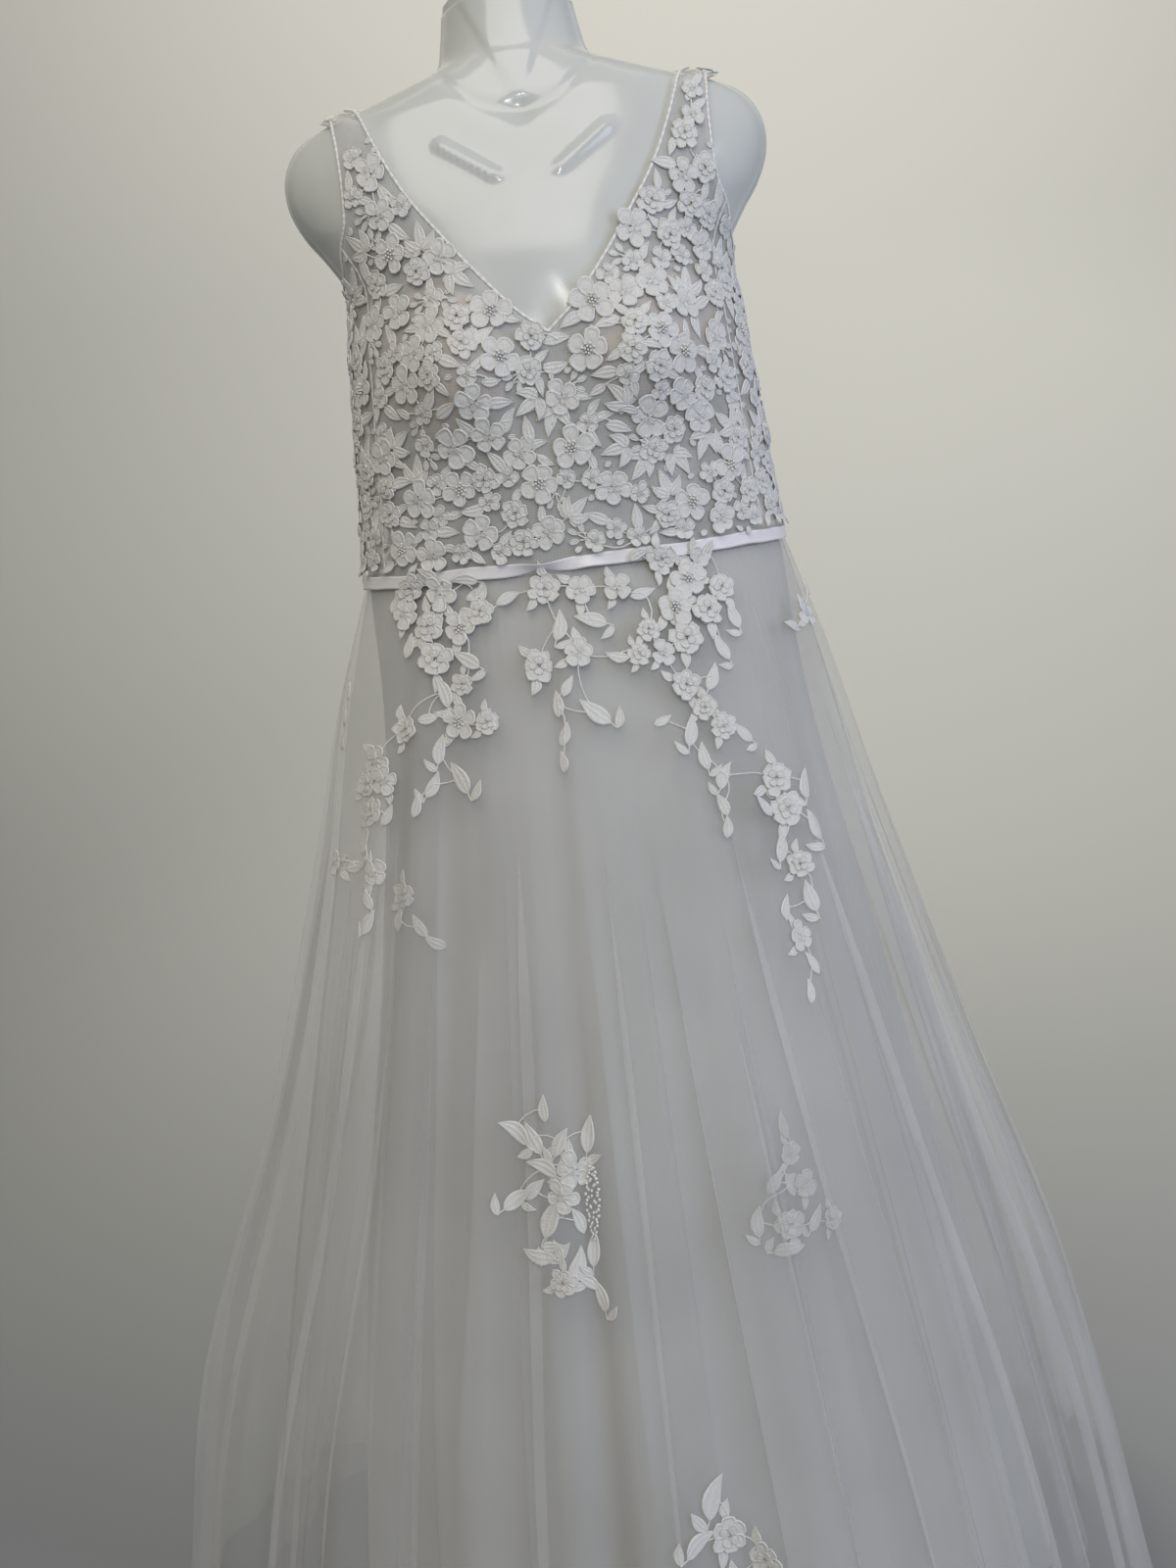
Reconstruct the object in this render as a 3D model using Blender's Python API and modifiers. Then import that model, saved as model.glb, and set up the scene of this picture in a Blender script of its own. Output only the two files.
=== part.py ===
"""A lace and tulle wedding dress on a hollow-backed dress form with a pole and a round base.

Metres, +Z up. The front of the dress faces -Y and +X is the viewer's right. The origin is the
centre of the base's underside, on the floor.
"""
import math

import bmesh
import bpy
import numpy as np
from mathutils import Vector
from mathutils.geometry import delaunay_2d_cdt

# Driving dimensions
GAP = 0.0003            # left between pieces that meet
SEAM = GAP / 2          # what each side of a seam gives up
WAIST = 1.120           # height of the waist seam
SKIRT_TOP = WAIST - 0.0008
CLOTH_WALL = 0.0016     # bodice net with its backing
SKIRT_WALL = 0.0015     # each skirt layer
LACE_RAISE = 0.0013     # how far the corded lace stands off the net
LACE_EDGE = 0.0011      # width of the sloping side of a raised motif
DRESS_LIFT = 0.0038     # inside of the bodice over the form
FORM_WALL = 0.0030
RIM_WIDTH = 0.0090      # raised lip all round the form's open back
RIM_RAISE = 0.0014
BAR_RAISE = 0.0035      # collarbone ridges
ARC = 0.155             # metres of cloth for a radian of the torso, for laying out its panels
SKIRT_ARC = 0.30        # the same for the skirt
SIDE_FRONT = 60.0       # angle of the front side seams, from centre front
SIDE_BACK = 112.0       # angle of the back side seams
BUST_OUT = 0.022        # how far the bust stands out
BUST_X, BUST_Z = 0.083, 1.292
BUST_WIDE, BUST_TALL = 0.044, 0.046
CUP_LIFT, CUP_WALL = 0.0022, 0.0018
RIBBON_LOW, RIBBON_HIGH = WAIST + 0.0006, WAIST + 0.0122
RIBBON_LIFT = DRESS_LIFT + CLOTH_WALL + 0.0008
RIBBON_WALL = 0.0010
BUTTONS = 9
BUTTON_RADIUS, BUTTON_DEPTH = 0.0052, 0.0026
BUTTON_LOW, BUTTON_PITCH = 1.1375, 0.0145
BACK_NECK = 1.262       # where the V at the back ends
POLE_RADIUS, POLE_Y = 0.0125, -0.022
BASE_RADIUS, BASE_THICK, BASE_EDGE = 0.160, 0.010, 0.003
COLLAR_RADIUS, COLLAR_FOOT, COLLAR_TOP = 0.021, 0.012, 0.070
CAP_THICK = 0.005

# The torso, from the form's lower edge to the top of its neck. The eases are how much wider
# and deeper the dress is than the form.
# height, half width, front depth, side ease, front ease, back depth of the dress
TORSO = (
    (0.905, 0.160, 0.078, 0.0000, 0.0000, 0.080),
    (0.985, 0.172, 0.090, 0.0060, 0.0000, 0.080),
    (1.055, 0.174, 0.094, 0.0170, 0.0020, 0.082),
    (1.120, 0.172, 0.095, 0.0245, 0.0080, 0.084),
    (1.190, 0.170, 0.098, 0.0185, 0.0085, 0.088),
    (1.260, 0.172, 0.104, 0.0100, 0.0060, 0.090),
    (1.320, 0.173, 0.107, 0.0030, 0.0040, 0.089),
    (1.385, 0.1725, 0.103, 0.0000, 0.0015, 0.085),
    (1.412, 0.1880, 0.098, 0.0000, 0.0000, 0.081),
    (1.435, 0.2040, 0.093, 0.0000, 0.0000, 0.078),
    (1.458, 0.2130, 0.087, 0.0000, 0.0000, 0.075),
    (1.480, 0.2130, 0.081, 0.0000, 0.0000, 0.073),
    (1.498, 0.2045, 0.076, 0.0000, 0.0000, 0.071),
    (1.5105, 0.1900, 0.073, 0.0000, 0.0000, 0.070),
    (1.5180, 0.1700, 0.071, 0.0000, 0.0000, 0.069),
    (1.5260, 0.1430, 0.069, 0.0000, 0.0000, 0.068),
    (1.5350, 0.1120, 0.067, 0.0000, 0.0000, 0.066),
    (1.5430, 0.0850, 0.065, 0.0000, 0.0000, 0.064),
    (1.5520, 0.0670, 0.062, 0.0000, 0.0000, 0.060),
    (1.5740, 0.0600, 0.058, 0.0000, 0.0000, 0.058),
    (1.5950, 0.0560, 0.056, 0.0000, 0.0000, 0.056),
)

# Edges of the bodice, as half width and height seen from the front
NECK_EDGE = ((0.030, 1.341), (0.057, 1.374), (0.084, 1.411), (0.103, 1.438), (0.124, 1.480), (0.134, 1.505))
NECK_POINT = 1.316
STRAP_IN, STRAP_OUT = 0.1375, 0.1660     # strap edges where they cross the shoulder
ARM_EDGE = ((0.160, 1.432), (0.158, 1.452), (0.158, 1.472), (0.159, 1.492), (0.161, 1.508))
ARM_FRONT_TOP, ARM_BACK_TOP = 1.414, 1.404     # where the armhole meets the side seams
UNDERARM = ((72.0, 1.393), (85.0, 1.383), (99.0, 1.386))
BACK_EDGE = ((0.020, 1.285), (0.050, 1.335), (0.084, 1.395), (0.110, 1.445), (0.129, 1.492))
BACK_ARM = ((0.165, 1.428), (0.160, 1.452), (0.158, 1.476), (0.160, 1.500))

# The skirt layers
# height, half width at the viewer's left and right, depth in front and behind, depth of the folds
OUTER_ROWS = (
    (SKIRT_TOP, 0.2015, 0.2015, 0.1080, 0.0890, 0.0000),
    (1.030, 0.2360, 0.2300, 0.1370, 0.1150, 0.0018),
    (0.860, 0.2850, 0.2740, 0.1890, 0.1610, 0.0045),
    (0.620, 0.3640, 0.3440, 0.2640, 0.2180, 0.0085),
    (0.340, 0.4800, 0.4320, 0.3520, 0.2820, 0.0125),
    (0.000, 0.5680, 0.5000, 0.4320, 0.3450, 0.0160),
)
MIDDLE_ROWS = (
    (SKIRT_TOP, 0.1990, 0.1990, 0.1055, 0.0865, 0.0000),
    (1.030, 0.2280, 0.2220, 0.1295, 0.1080, 0.0015),
    (0.800, 0.2850, 0.2700, 0.1900, 0.1610, 0.0040),
    (0.420, 0.3880, 0.3560, 0.2860, 0.2240, 0.0085),
    (0.000, 0.4900, 0.4400, 0.3780, 0.2950, 0.0120),
)
LINING_ROWS = (
    (SKIRT_TOP, 0.1965, 0.1965, 0.1030, 0.0840, 0.0000),
    (1.000, 0.2020, 0.2080, 0.1230, 0.0990, 0.0015),
    (0.800, 0.2330, 0.2430, 0.1600, 0.1240, 0.0045),
    (0.420, 0.3100, 0.3200, 0.2330, 0.1800, 0.0080),
    (0.000, 0.3750, 0.4000, 0.3000, 0.2400, 0.0110),
)
OUTER_FOLDS, MIDDLE_FOLDS, LINING_FOLDS = 28, 18, 14
FLARE = 0.010           # slow swell of all three layers at the hem
FLARE_WAVES = ((3, 0.6, 0.8), (7, 0.4, 2.1))     # count round the hem, share, phase

# Lace motifs of the bodice front: angle from centre front, height, size, turn, kind. The
# spaces between them are filled by fill_lace.
FRONT_LACE = (
    (-15.0, 1.337, 0.017, 10, "flower"), (-14.0, 1.300, 0.018, 50, "flower"),
    (13.0, 1.335, 0.018, 30, "flower"), (10.5, 1.297, 0.018, 75, "flower"),
    (2.5, 1.222, 0.019, 20, "flower"), (-7.0, 1.197, 0.018, 60, "flower"),
    (33.0, 1.165, 0.018, 5, "flower"), (49.0, 1.193, 0.018, 40, "flower"),
    (37.0, 1.288, 0.018, 12, "flower"), (-50.0, 1.154, 0.018, 33, "flower"),
    (42.0, 1.148, 0.014, 21, "flower"), (11.0, 1.172, 0.020, 90, "leaf"),
    (-29.0, 1.235, 0.018, 45, "flower"), (-42.0, 1.195, 0.017, 15, "flower"),
    (-1.5, 1.262, 0.018, 95, "leaf"), (24.0, 1.240, 0.018, 25, "flower"),
    (-24.0, 1.160, 0.017, 70, "flower"), (27.0, 1.390, 0.016, 55, "flower"),
    (-27.0, 1.385, 0.016, 25, "flower"), (39.0, 1.430, 0.015, 20, "flower"),
    (-39.0, 1.428, 0.015, 65, "flower"), (-43.0, 1.290, 0.017, 20, "flower"),
    (40.5, 1.478, 0.012, 100, "leaf"), (-40.5, 1.480, 0.012, 80, "leaf"),
)

# Lace on the skirt: half width from centre front and height seen from the front, size, turn, kind
OUTER_LACE = (
    (-0.150, 1.095, 0.017, 10, "flower"), (-0.122, 1.072, 0.020, 40, "flower"),
    (-0.090, 1.092, 0.018, 70, "flower"), (-0.105, 1.036, 0.019, 20, "flower"),
    (-0.092, 1.000, 0.021, 160, "leaf"), (-0.103, 0.962, 0.019, 55, "flower"),
    (-0.146, 0.952, 0.018, 15, "flower"),
    (-0.126, 0.918, 0.013, 75, "leaf"), (-0.095, 0.905, 0.020, 125, "leaf"),
    (-0.136, 0.880, 0.012, 80, "leaf"),
    (-0.012, 1.100, 0.014, 30, "blossom"), (-0.030, 1.070, 0.013, 70, "leaf"),
    (0.010, 1.052, 0.020, 10, "leaf"), (-0.030, 1.008, 0.018, 50, "flower"),
    (0.016, 1.018, 0.019, 5, "flower"), (0.020, 0.968, 0.020, 140, "leaf"),
    (0.098, 1.094, 0.020, 25, "flower"), (0.130, 1.078, 0.016, 60, "blossom"),
    (0.070, 1.050, 0.012, 10, "blossom"), (0.112, 1.038, 0.020, 45, "flower"),
    (0.108, 0.990, 0.017, 90, "leaf"), (0.142, 0.955, 0.015, 30, "blossom"),
    (0.100, 0.950, 0.016, 75, "blossom"), (0.125, 0.905, 0.014, 15, "blossom"),
    (0.133, 0.860, 0.013, 100, "leaf"), (0.190, 1.040, 0.013, 20, "blossom"),
    (-0.158, 0.878, 0.019, 35, "flower"), (-0.170, 0.838, 0.015, 95, "leaf"),
    (-0.180, 0.790, 0.016, 50, "blossom"), (-0.204, 0.793, 0.013, 10, "leaf"),
    (-0.172, 0.735, 0.014, 60, "leaf"),
    (0.178, 0.858, 0.018, 10, "flower"), (0.196, 0.828, 0.019, 45, "flower"),
    (0.176, 0.788, 0.013, 80, "leaf"), (0.200, 0.765, 0.016, 100, "leaf"),
    (0.192, 0.720, 0.016, 70, "leaf"),
    (-0.062, 0.600, 0.016, 130, "leaf"), (-0.030, 0.612, 0.015, 95, "leaf"),
    (-0.052, 0.560, 0.021, 20, "flower"), (-0.014, 0.570, 0.020, 55, "flower"),
    (-0.078, 0.532, 0.018, 30, "leaf"), (-0.040, 0.512, 0.018, 110, "leaf"),
    (-0.012, 0.520, 0.020, 80, "leaf"), (-0.048, 0.472, 0.018, 170, "leaf"),
    (-0.020, 0.462, 0.017, 15, "flower"), (-0.008, 0.425, 0.014, 100, "leaf"),
    (0.058, 0.200, 0.020, 60, "leaf"), (0.080, 0.160, 0.019, 25, "flower"),
    (0.072, 0.118, 0.016, 120, "leaf"), (0.125, 0.110, 0.016, 10, "leaf"),
)
MIDDLE_LACE = (
    (0.150, 0.600, 0.015, 90, "leaf"), (0.146, 0.555, 0.017, 20, "flower"),
    (0.176, 0.540, 0.014, 50, "leaf"), (0.130, 0.522, 0.014, 30, "leaf"),
    (0.158, 0.500, 0.018, 65, "flower"), (0.192, 0.498, 0.012, 10, "blossom"),
)
# The same kind of trails at the sides and back: angle, height, size, turn, kind
BACK_LACE = (
    (0.0, 0.060, 0.018, 20, "blossom"), (5.0, 0.105, 0.017, 95, "leaf"), (-3.0, 0.150, 0.017, 50, "blossom"),
    (2.0, 0.205, 0.014, 80, "leaf"), (-6.0, 0.245, 0.011, 100, "leaf"),
)
TRAIL_ANGLES = (118.0, 150.0, -118.0, -150.0)

# What fills the bodice between its placed motifs: size, kind, step of the search
FRONT_FILLING = ((0.0160, "blossom", 0.0140), (0.0115, "leaf", 0.0100))
BACK_FILLING = ((0.0185, "blossom", 0.0160), (0.0140, "leaf", 0.0140))

FORM_WHITE = (0.86, 0.87, 0.88)
NET_WHITE = (0.83, 0.84, 0.84)
LACE_WHITE = (0.90, 0.90, 0.88)
SATIN_WHITE = (0.88, 0.85, 0.88)
NUDE = (0.85, 0.74, 0.68)
STAND_WHITE = (0.80, 0.80, 0.80)


def clear_scene():
    for old in list(bpy.data.objects):
        bpy.data.objects.remove(old, do_unlink=True)


def make_material(name, colour, roughness):
    material = bpy.data.materials.new(name)
    material.use_nodes = True
    shader = material.node_tree.nodes["Principled BSDF"]
    shader.inputs["Base Color"].default_value = (*colour, 1.0)
    shader.inputs["Roughness"].default_value = roughness
    shader.inputs["Metallic"].default_value = 0.0
    material.diffuse_color = (*colour, 1.0)
    return material


def add_object(name, mesh, material):
    piece = bpy.data.objects.new(name, mesh)
    piece.data.materials.append(material)
    model.objects.link(piece)
    return piece


# The torso's surface

def profile_lengths():
    rows = np.array(TORSO)
    steps = np.hypot(np.diff(rows[:, 0]), np.diff(rows[:, 1]))
    return np.concatenate(([0.0], np.cumsum(steps)))


LENGTHS = profile_lengths()
SMOOTH_ROWS = np.array(TORSO)
SLOPES = np.gradient(SMOOTH_ROWS, LENGTHS, axis=0)


def torso_row(v):
    """All the torso's columns at a length v up its side, on a smooth curve through the rows."""
    v = min(max(v, 0.0), LENGTHS[-1])
    i = min(int(np.searchsorted(LENGTHS, v, side="right")) - 1, len(LENGTHS) - 2)
    step = LENGTHS[i + 1] - LENGTHS[i]
    t = (v - LENGTHS[i]) / step
    low, high = SMOOTH_ROWS[i], SMOOTH_ROWS[i + 1]
    low_slope, high_slope = SLOPES[i] * step, SLOPES[i + 1] * step
    return (
        (2 * t**3 - 3 * t**2 + 1) * low
        + (t**3 - 2 * t**2 + t) * low_slope
        + (3 * t**2 - 2 * t**3) * high
        + (t**3 - t**2) * high_slope
    )


V_SAMPLES = np.linspace(0.0, LENGTHS[-1], 600)
SAMPLED = np.array([torso_row(v) for v in V_SAMPLES])


def v_at_height(height):
    return float(np.interp(height, SAMPLED[:, 0], V_SAMPLES))


def v_at_width(half_width):
    """The length at which the shoulder's ridge is this far from the centre."""
    ridge = SAMPLED[:, 0] > 1.49
    widths, lengths = SAMPLED[ridge, 1], V_SAMPLES[ridge]
    return float(np.interp(-half_width, -widths, lengths))


def bare_torso(theta, v, ease):
    height, half_width, front, side_ease, front_ease, back = torso_row(v)
    half_width += ease * side_ease
    x = half_width * math.sin(theta)
    if math.cos(theta) >= 0.0:
        near = math.exp(-(((abs(x) - BUST_X) / BUST_WIDE) ** 2) - ((height - BUST_Z) / BUST_TALL) ** 2)
        y = -(front + ease * front_ease + BUST_OUT * near) * math.cos(theta)
    else:
        y = -back * math.cos(theta)
    return np.array((x, y, height))


def torso_point(theta, v, ease, lift):
    """A point of the torso, moved out along its own normal by lift."""
    tiny = 0.0005
    across = bare_torso(theta + tiny, v, ease) - bare_torso(theta - tiny, v, ease)
    top = min(v + tiny, LENGTHS[-1])
    up = bare_torso(theta, top, ease) - bare_torso(theta, v - tiny, ease)
    normal = np.cross(across, up)
    return bare_torso(theta, v, ease) + normal / np.linalg.norm(normal) * lift


def dress_place(x, height):
    """Layout coordinates of a front point of the dress from its half width and height."""
    v = v_at_height(height)
    row = torso_row(v)
    reach = row[1] + row[3] + DRESS_LIFT
    return math.asin(max(-1.0, min(1.0, x / reach))) * ARC, v


def angle_place(degrees, height):
    return math.radians(degrees) * ARC, v_at_height(height)


# Laying out and raising the lace

def petals(centre, size, turn, petal_points):
    """Five petals; each point of one is a share of its angle and of the flower's size."""
    points = []
    for petal in range(5):
        for share, reach in petal_points:
            angle = math.radians(turn) + (petal + share) * math.tau / 5
            away = size * reach
            points.append((centre[0] + away * math.cos(angle), centre[1] + away * math.sin(angle)))
    return points


def flower_outline(centre, size, turn):
    return petals(centre, size, turn, ((-0.22, 0.97), (0.22, 0.97), (0.5, 0.58)))


def blossom_outline(centre, size, turn):
    """A small flower with pointed petals."""
    return petals(centre, size, turn, ((0.0, 1.0), (0.5, 0.62)))


def leaf_outline(centre, size, turn):
    """A pointed leaf, widest below its middle."""
    profile = ((-1.0, 0.0), (-0.45, -0.42), (0.25, -0.36), (1.0, 0.0), (0.25, 0.36), (-0.45, 0.42))
    cos, sin = math.cos(math.radians(turn)), math.sin(math.radians(turn))
    return [
        (centre[0] + size * (x * cos - y * sin), centre[1] + size * (x * sin + y * cos))
        for x, y in profile
    ]


OUTLINES = {"flower": flower_outline, "blossom": blossom_outline, "leaf": leaf_outline}


def inside(point, polygon):
    x, y = point
    hit = False
    for (x0, y0), (x1, y1) in zip(polygon, polygon[1:] + polygon[:1]):
        if (y0 > y) != (y1 > y) and x < (x1 - x0) * (y - y0) / (y1 - y0) + x0:
            hit = not hit
    return hit


def distance_to(point, polygon):
    best = 1.0
    p = np.array(point)
    for start, end in zip(polygon, polygon[1:] + polygon[:1]):
        a, b = np.array(start), np.array(end)
        t = np.clip(np.dot(p - a, b - a) / max(np.dot(b - a, b - a), 1e-12), 0.0, 1.0)
        best = min(best, float(np.linalg.norm(p - a - t * (b - a))))
    return best


def fits(centre, size, outline, placed, spare=0.0022):
    if not inside(centre, outline) or distance_to(centre, outline) < size + spare:
        return False
    return all(math.dist(centre, other[0]) > size + other[1] + spare for other in placed)


def fill_lace(outline, placed, lowest, filling):
    """Leaves and small flowers in the spaces between the motifs already placed."""
    xs, ys = [p[0] for p in outline], [p[1] for p in outline]
    found = list(placed)
    for size, kind, step in filling:
        row_count = int((max(ys) - min(ys)) / step)
        for row in range(row_count):
            y = min(ys) + (row + 0.5) * step
            if y < lowest + size:
                continue
            x = min(xs) + (row % 2) * step / 2
            column = 0
            while x < max(xs):
                if fits((x, y), size, outline, found):
                    found.append(((x, y), size, (row * 47 + column * 71) % 180, kind))
                x += step
                column += 1
    return found


# Triangles for one wall

def triangulate(outline, rings, loose, lines):
    """Constrained triangles inside an outline.

    rings are closed loops with a lift, loose are single points with a lift and lines are runs
    of points with a lift each. Returns the points with their lifts, and the triangles.
    """
    points, lifts, edges, edge_lifts = [], [], [], []

    def add_run(run, run_lifts, closed, edge_lift):
        start = len(points)
        points.extend(run)
        lifts.extend(run_lifts)
        count = len(run)
        for i in range(count if closed else count - 1):
            edges.append((start + i, start + (i + 1) % count))
            edge_lifts.append(edge_lift)

    add_run(outline, [0.0] * len(outline), True, 0.0)
    for ring, lift in rings:
        add_run(ring, [lift] * len(ring), True, lift)
    for run, run_lifts in lines:
        add_run(run, run_lifts, False, None)
    for point, lift in loose:
        points.append(point)
        lifts.append(lift)
    vertices, out_edges, faces, from_vertices, from_edges, _ = delaunay_2d_cdt(
        [Vector(p) for p in points], edges, [], 1, 1e-6
    )
    heights = [None] * len(vertices)
    for i, sources in enumerate(from_vertices):
        if sources:
            heights[i] = max(lifts[s] for s in sources)
    for (a, b), sources in zip(out_edges, from_edges):
        known = [edge_lifts[s] for s in sources if s < len(edge_lifts) and edge_lifts[s] is not None]
        for end in (a, b):
            if known and not from_vertices[end]:
                heights[end] = max(known + [heights[end] or 0.0])
    heights = [h or 0.0 for h in heights]
    return [tuple(v) for v in vertices], heights, [tuple(f) for f in faces]


def place_key(point):
    """A layout point as a lookup key, at the precision that a mesh keeps."""
    return tuple(round(float(np.float32(value)), 6) for value in point)


def wall_mesh(name, outline, outer, inner, outer_point, inner_point):
    """A closed wall from two triangulations that share an outline."""
    build = bmesh.new()

    def add_side(side, place, flip):
        points, heights, faces = side
        made = [build.verts.new(place(p, h)) for p, h in zip(points, heights)]
        for face in faces:
            corners = [made[i] for i in face]
            if flip:
                corners.reverse()
            build.faces.new(corners)
        at_place = {place_key(point): vertex for vertex, point in zip(made, points)}
        return [at_place[place_key(point)] for point in outline]

    front = add_side(outer, outer_point, False)
    back = add_side(inner, inner_point, True)
    count = len(outline)
    for i in range(count):
        j = (i + 1) % count
        build.faces.new((front[j], front[i], back[i], back[j]))
    bmesh.ops.triangulate(build, faces=[f for f in build.faces if len(f.verts) > 3])
    mesh = bpy.data.meshes.new(name)
    build.to_mesh(mesh)
    build.free()
    return mesh


def flat_topped(motifs):
    """The foot and the raised edge of each motif, and the bead at a flower's centre."""
    rings, centres = [], []
    for centre, size, turn, kind in motifs:
        edge = LACE_EDGE * (2.0 if kind == "leaf" else 1.0)
        rings.append((OUTLINES[kind](centre, size, turn), 0.0))
        rings.append((OUTLINES[kind](centre, size - edge, turn), LACE_RAISE))
        if kind != "leaf":
            centres.append((centre, LACE_RAISE * 1.7))
    return rings, centres


def crowned(motifs):
    """The foot of each motif, with a high point in each petal or along a leaf's rib."""
    rings, highs = [], []
    for centre, size, turn, kind in motifs:
        rings.append((OUTLINES[kind](centre, size, turn), 0.0))
        if kind == "leaf":
            cos, sin = math.cos(math.radians(turn)), math.sin(math.radians(turn))
            for share in (-0.5, 0.0, 0.5):
                highs.append(((centre[0] + size * share * cos, centre[1] + size * share * sin), LACE_RAISE))
        else:
            highs += [(p, LACE_RAISE) for p in petals(centre, size, turn, ((0.0, 0.66),))]
            highs.append((centre, LACE_RAISE * 1.2))
    return rings, highs


def split_long(outline, longest):
    """The outline with points added so that no stretch is longer than given."""
    result = []
    for start, end in zip(outline, outline[1:] + outline[:1]):
        pieces = max(1, math.ceil(math.dist(start, end) / longest - 1e-6))
        for i in range(pieces):
            t = i / pieces
            result.append((start[0] + (end[0] - start[0]) * t, start[1] + (end[1] - start[1]) * t))
    return result


def grid_inside(outline, spacing, margin):
    xs, ys = [p[0] for p in outline], [p[1] for p in outline]
    found = []
    rows = int((max(ys) - min(ys)) / spacing)
    for row in range(rows + 1):
        y = min(ys) + row * spacing
        x = min(xs) + (row % 2) * spacing / 2
        while x < max(xs):
            if inside((x, y), outline) and distance_to((x, y), outline) > margin:
                found.append((x, y))
            x += spacing
    return found


def torso_panel(name, outline, motifs, material, wall, ease, lift, spacing=0.022):
    """One panel of the torso: a plain inside, and an outside with its lace raised."""
    outline = split_long(outline, spacing)
    grid = grid_inside(outline, spacing, spacing * 0.45)
    rings, centres = crowned(motifs)
    feet = [(centre, size) for centre, size, _, _ in motifs]
    open_grid = [(p, 0.0) for p in grid if all(math.dist(p, c) > s + 0.002 for c, s in feet)]
    outer = triangulate(outline, rings, open_grid + centres, [])
    inner = triangulate(outline, [], [(p, 0.0) for p in grid], [])
    mesh = wall_mesh(
        name, outline, outer, inner,
        lambda p, h: torso_point(p[0] / ARC, p[1], ease, lift + wall + h),
        lambda p, h: torso_point(p[0] / ARC, p[1], ease, lift),
    )
    return add_object(name, mesh, material)


def mirrored(outline):
    return [(-x, y) for x, y in reversed(outline)]


def seam_line(place, top):
    """The points of a side seam above the waist, the same on both of its pieces."""
    lengths = np.linspace(v_at_height(WAIST), v_at_height(top), 16)[1:]
    return [(place, float(v)) for v in lengths]


def bodice_front():
    waist = [(math.radians(a) * ARC, v_at_height(WAIST)) for a in np.arange(-SIDE_FRONT, SIDE_FRONT + 1, 5.0)]
    seam = math.radians(SIDE_FRONT) * ARC - SEAM
    waist[0], waist[-1] = (-seam, waist[0][1]), (seam, waist[-1][1])
    ridge = math.radians(90.0) * ARC - SEAM
    right = seam_line(seam, ARM_FRONT_TOP)
    right += [dress_place(x, z) for x, z in ARM_EDGE]
    right += [(ridge, v_at_width(STRAP_OUT)), (ridge, v_at_width(STRAP_IN))]
    right += [dress_place(x, z) for x, z in reversed(NECK_EDGE)]
    left = mirrored(right)
    outline = waist + right + [(0.0, v_at_height(NECK_POINT))] + left
    motifs = []
    lowest = v_at_height(RIBBON_HIGH) + 0.002
    finer = split_long(outline, 0.018)
    for angle, height, size, turn, kind in FRONT_LACE:
        place = angle_place(angle, height)
        if place[1] - size > lowest and fits(place, size, finer, motifs, 0.0012):
            motifs.append((place, size, turn, kind))
    motifs = fill_lace(finer, motifs, lowest, FRONT_FILLING)
    return torso_panel("bodice_front", outline, motifs, lace, CLOTH_WALL, 1.0, DRESS_LIFT)


def bodice_side(name, side):
    low, high = math.radians(SIDE_FRONT) * ARC + SEAM, math.radians(SIDE_BACK) * ARC - SEAM
    steps = np.linspace(low, high, 8)
    outline = [(a, v_at_height(WAIST)) for a in steps]
    outline += seam_line(high, ARM_BACK_TOP)
    outline += [angle_place(a, z) for a, z in reversed(UNDERARM)]
    outline += seam_line(low, ARM_FRONT_TOP)[::-1]
    motifs = fill_lace(split_long(outline, 0.018), [], v_at_height(RIBBON_HIGH) + 0.002, BACK_FILLING)
    if side < 0:
        outline = mirrored(outline)
        motifs = [((-c[0], c[1]), s, 180 - t, k) for c, s, t, k in motifs]
    return torso_panel(name, outline, motifs, lace, CLOTH_WALL, 1.0, DRESS_LIFT)


def back_place(x, height):
    a, v = dress_place(x, height)
    return math.pi * ARC - a, v


def bodice_back(name, side):
    low, high = math.radians(SIDE_BACK) * ARC + SEAM, math.pi * ARC - SEAM
    ridge = math.radians(90.0) * ARC + SEAM
    steps = np.linspace(low, high, 11)
    outline = [(a, v_at_height(WAIST)) for a in steps]
    outline.append((high, v_at_height(BACK_NECK)))
    outline += [back_place(x, z) for x, z in BACK_EDGE]
    outline += [(ridge, v_at_width(STRAP_IN)), (ridge, v_at_width(STRAP_OUT))]
    outline += [back_place(x, z) for x, z in reversed(BACK_ARM)]
    outline += seam_line(low, ARM_BACK_TOP)[::-1]
    placket = math.pi * ARC - 2.6 * BUTTON_RADIUS
    motifs = fill_lace(split_long(outline, 0.018), [], v_at_height(RIBBON_HIGH) + 0.002, BACK_FILLING)
    motifs = [m for m in motifs if m[0][0] + m[1] < placket]
    if side < 0:
        outline = mirrored(outline)
        motifs = [((-c[0], c[1]), s, 180 - t, k) for c, s, t, k in motifs]
    return torso_panel(name, outline, motifs, lace, CLOTH_WALL, 1.0, DRESS_LIFT, 0.028)


def bust_cup(name, side):
    """A round cup with a lift towards the strap, between the form and the bodice."""
    outline = []
    for step in range(20):
        angle = step * math.tau / 20
        reach = 0.057 + 0.012 * max(0.0, math.cos(angle - math.radians(65.0))) ** 2
        outline.append(dress_place(0.094 + reach * math.cos(angle), 1.300 + reach * math.sin(angle)))
    if side < 0:
        outline = mirrored(outline)
    return torso_panel(name, outline, [], nude, CUP_WALL, 0.0, CUP_LIFT)


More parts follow.
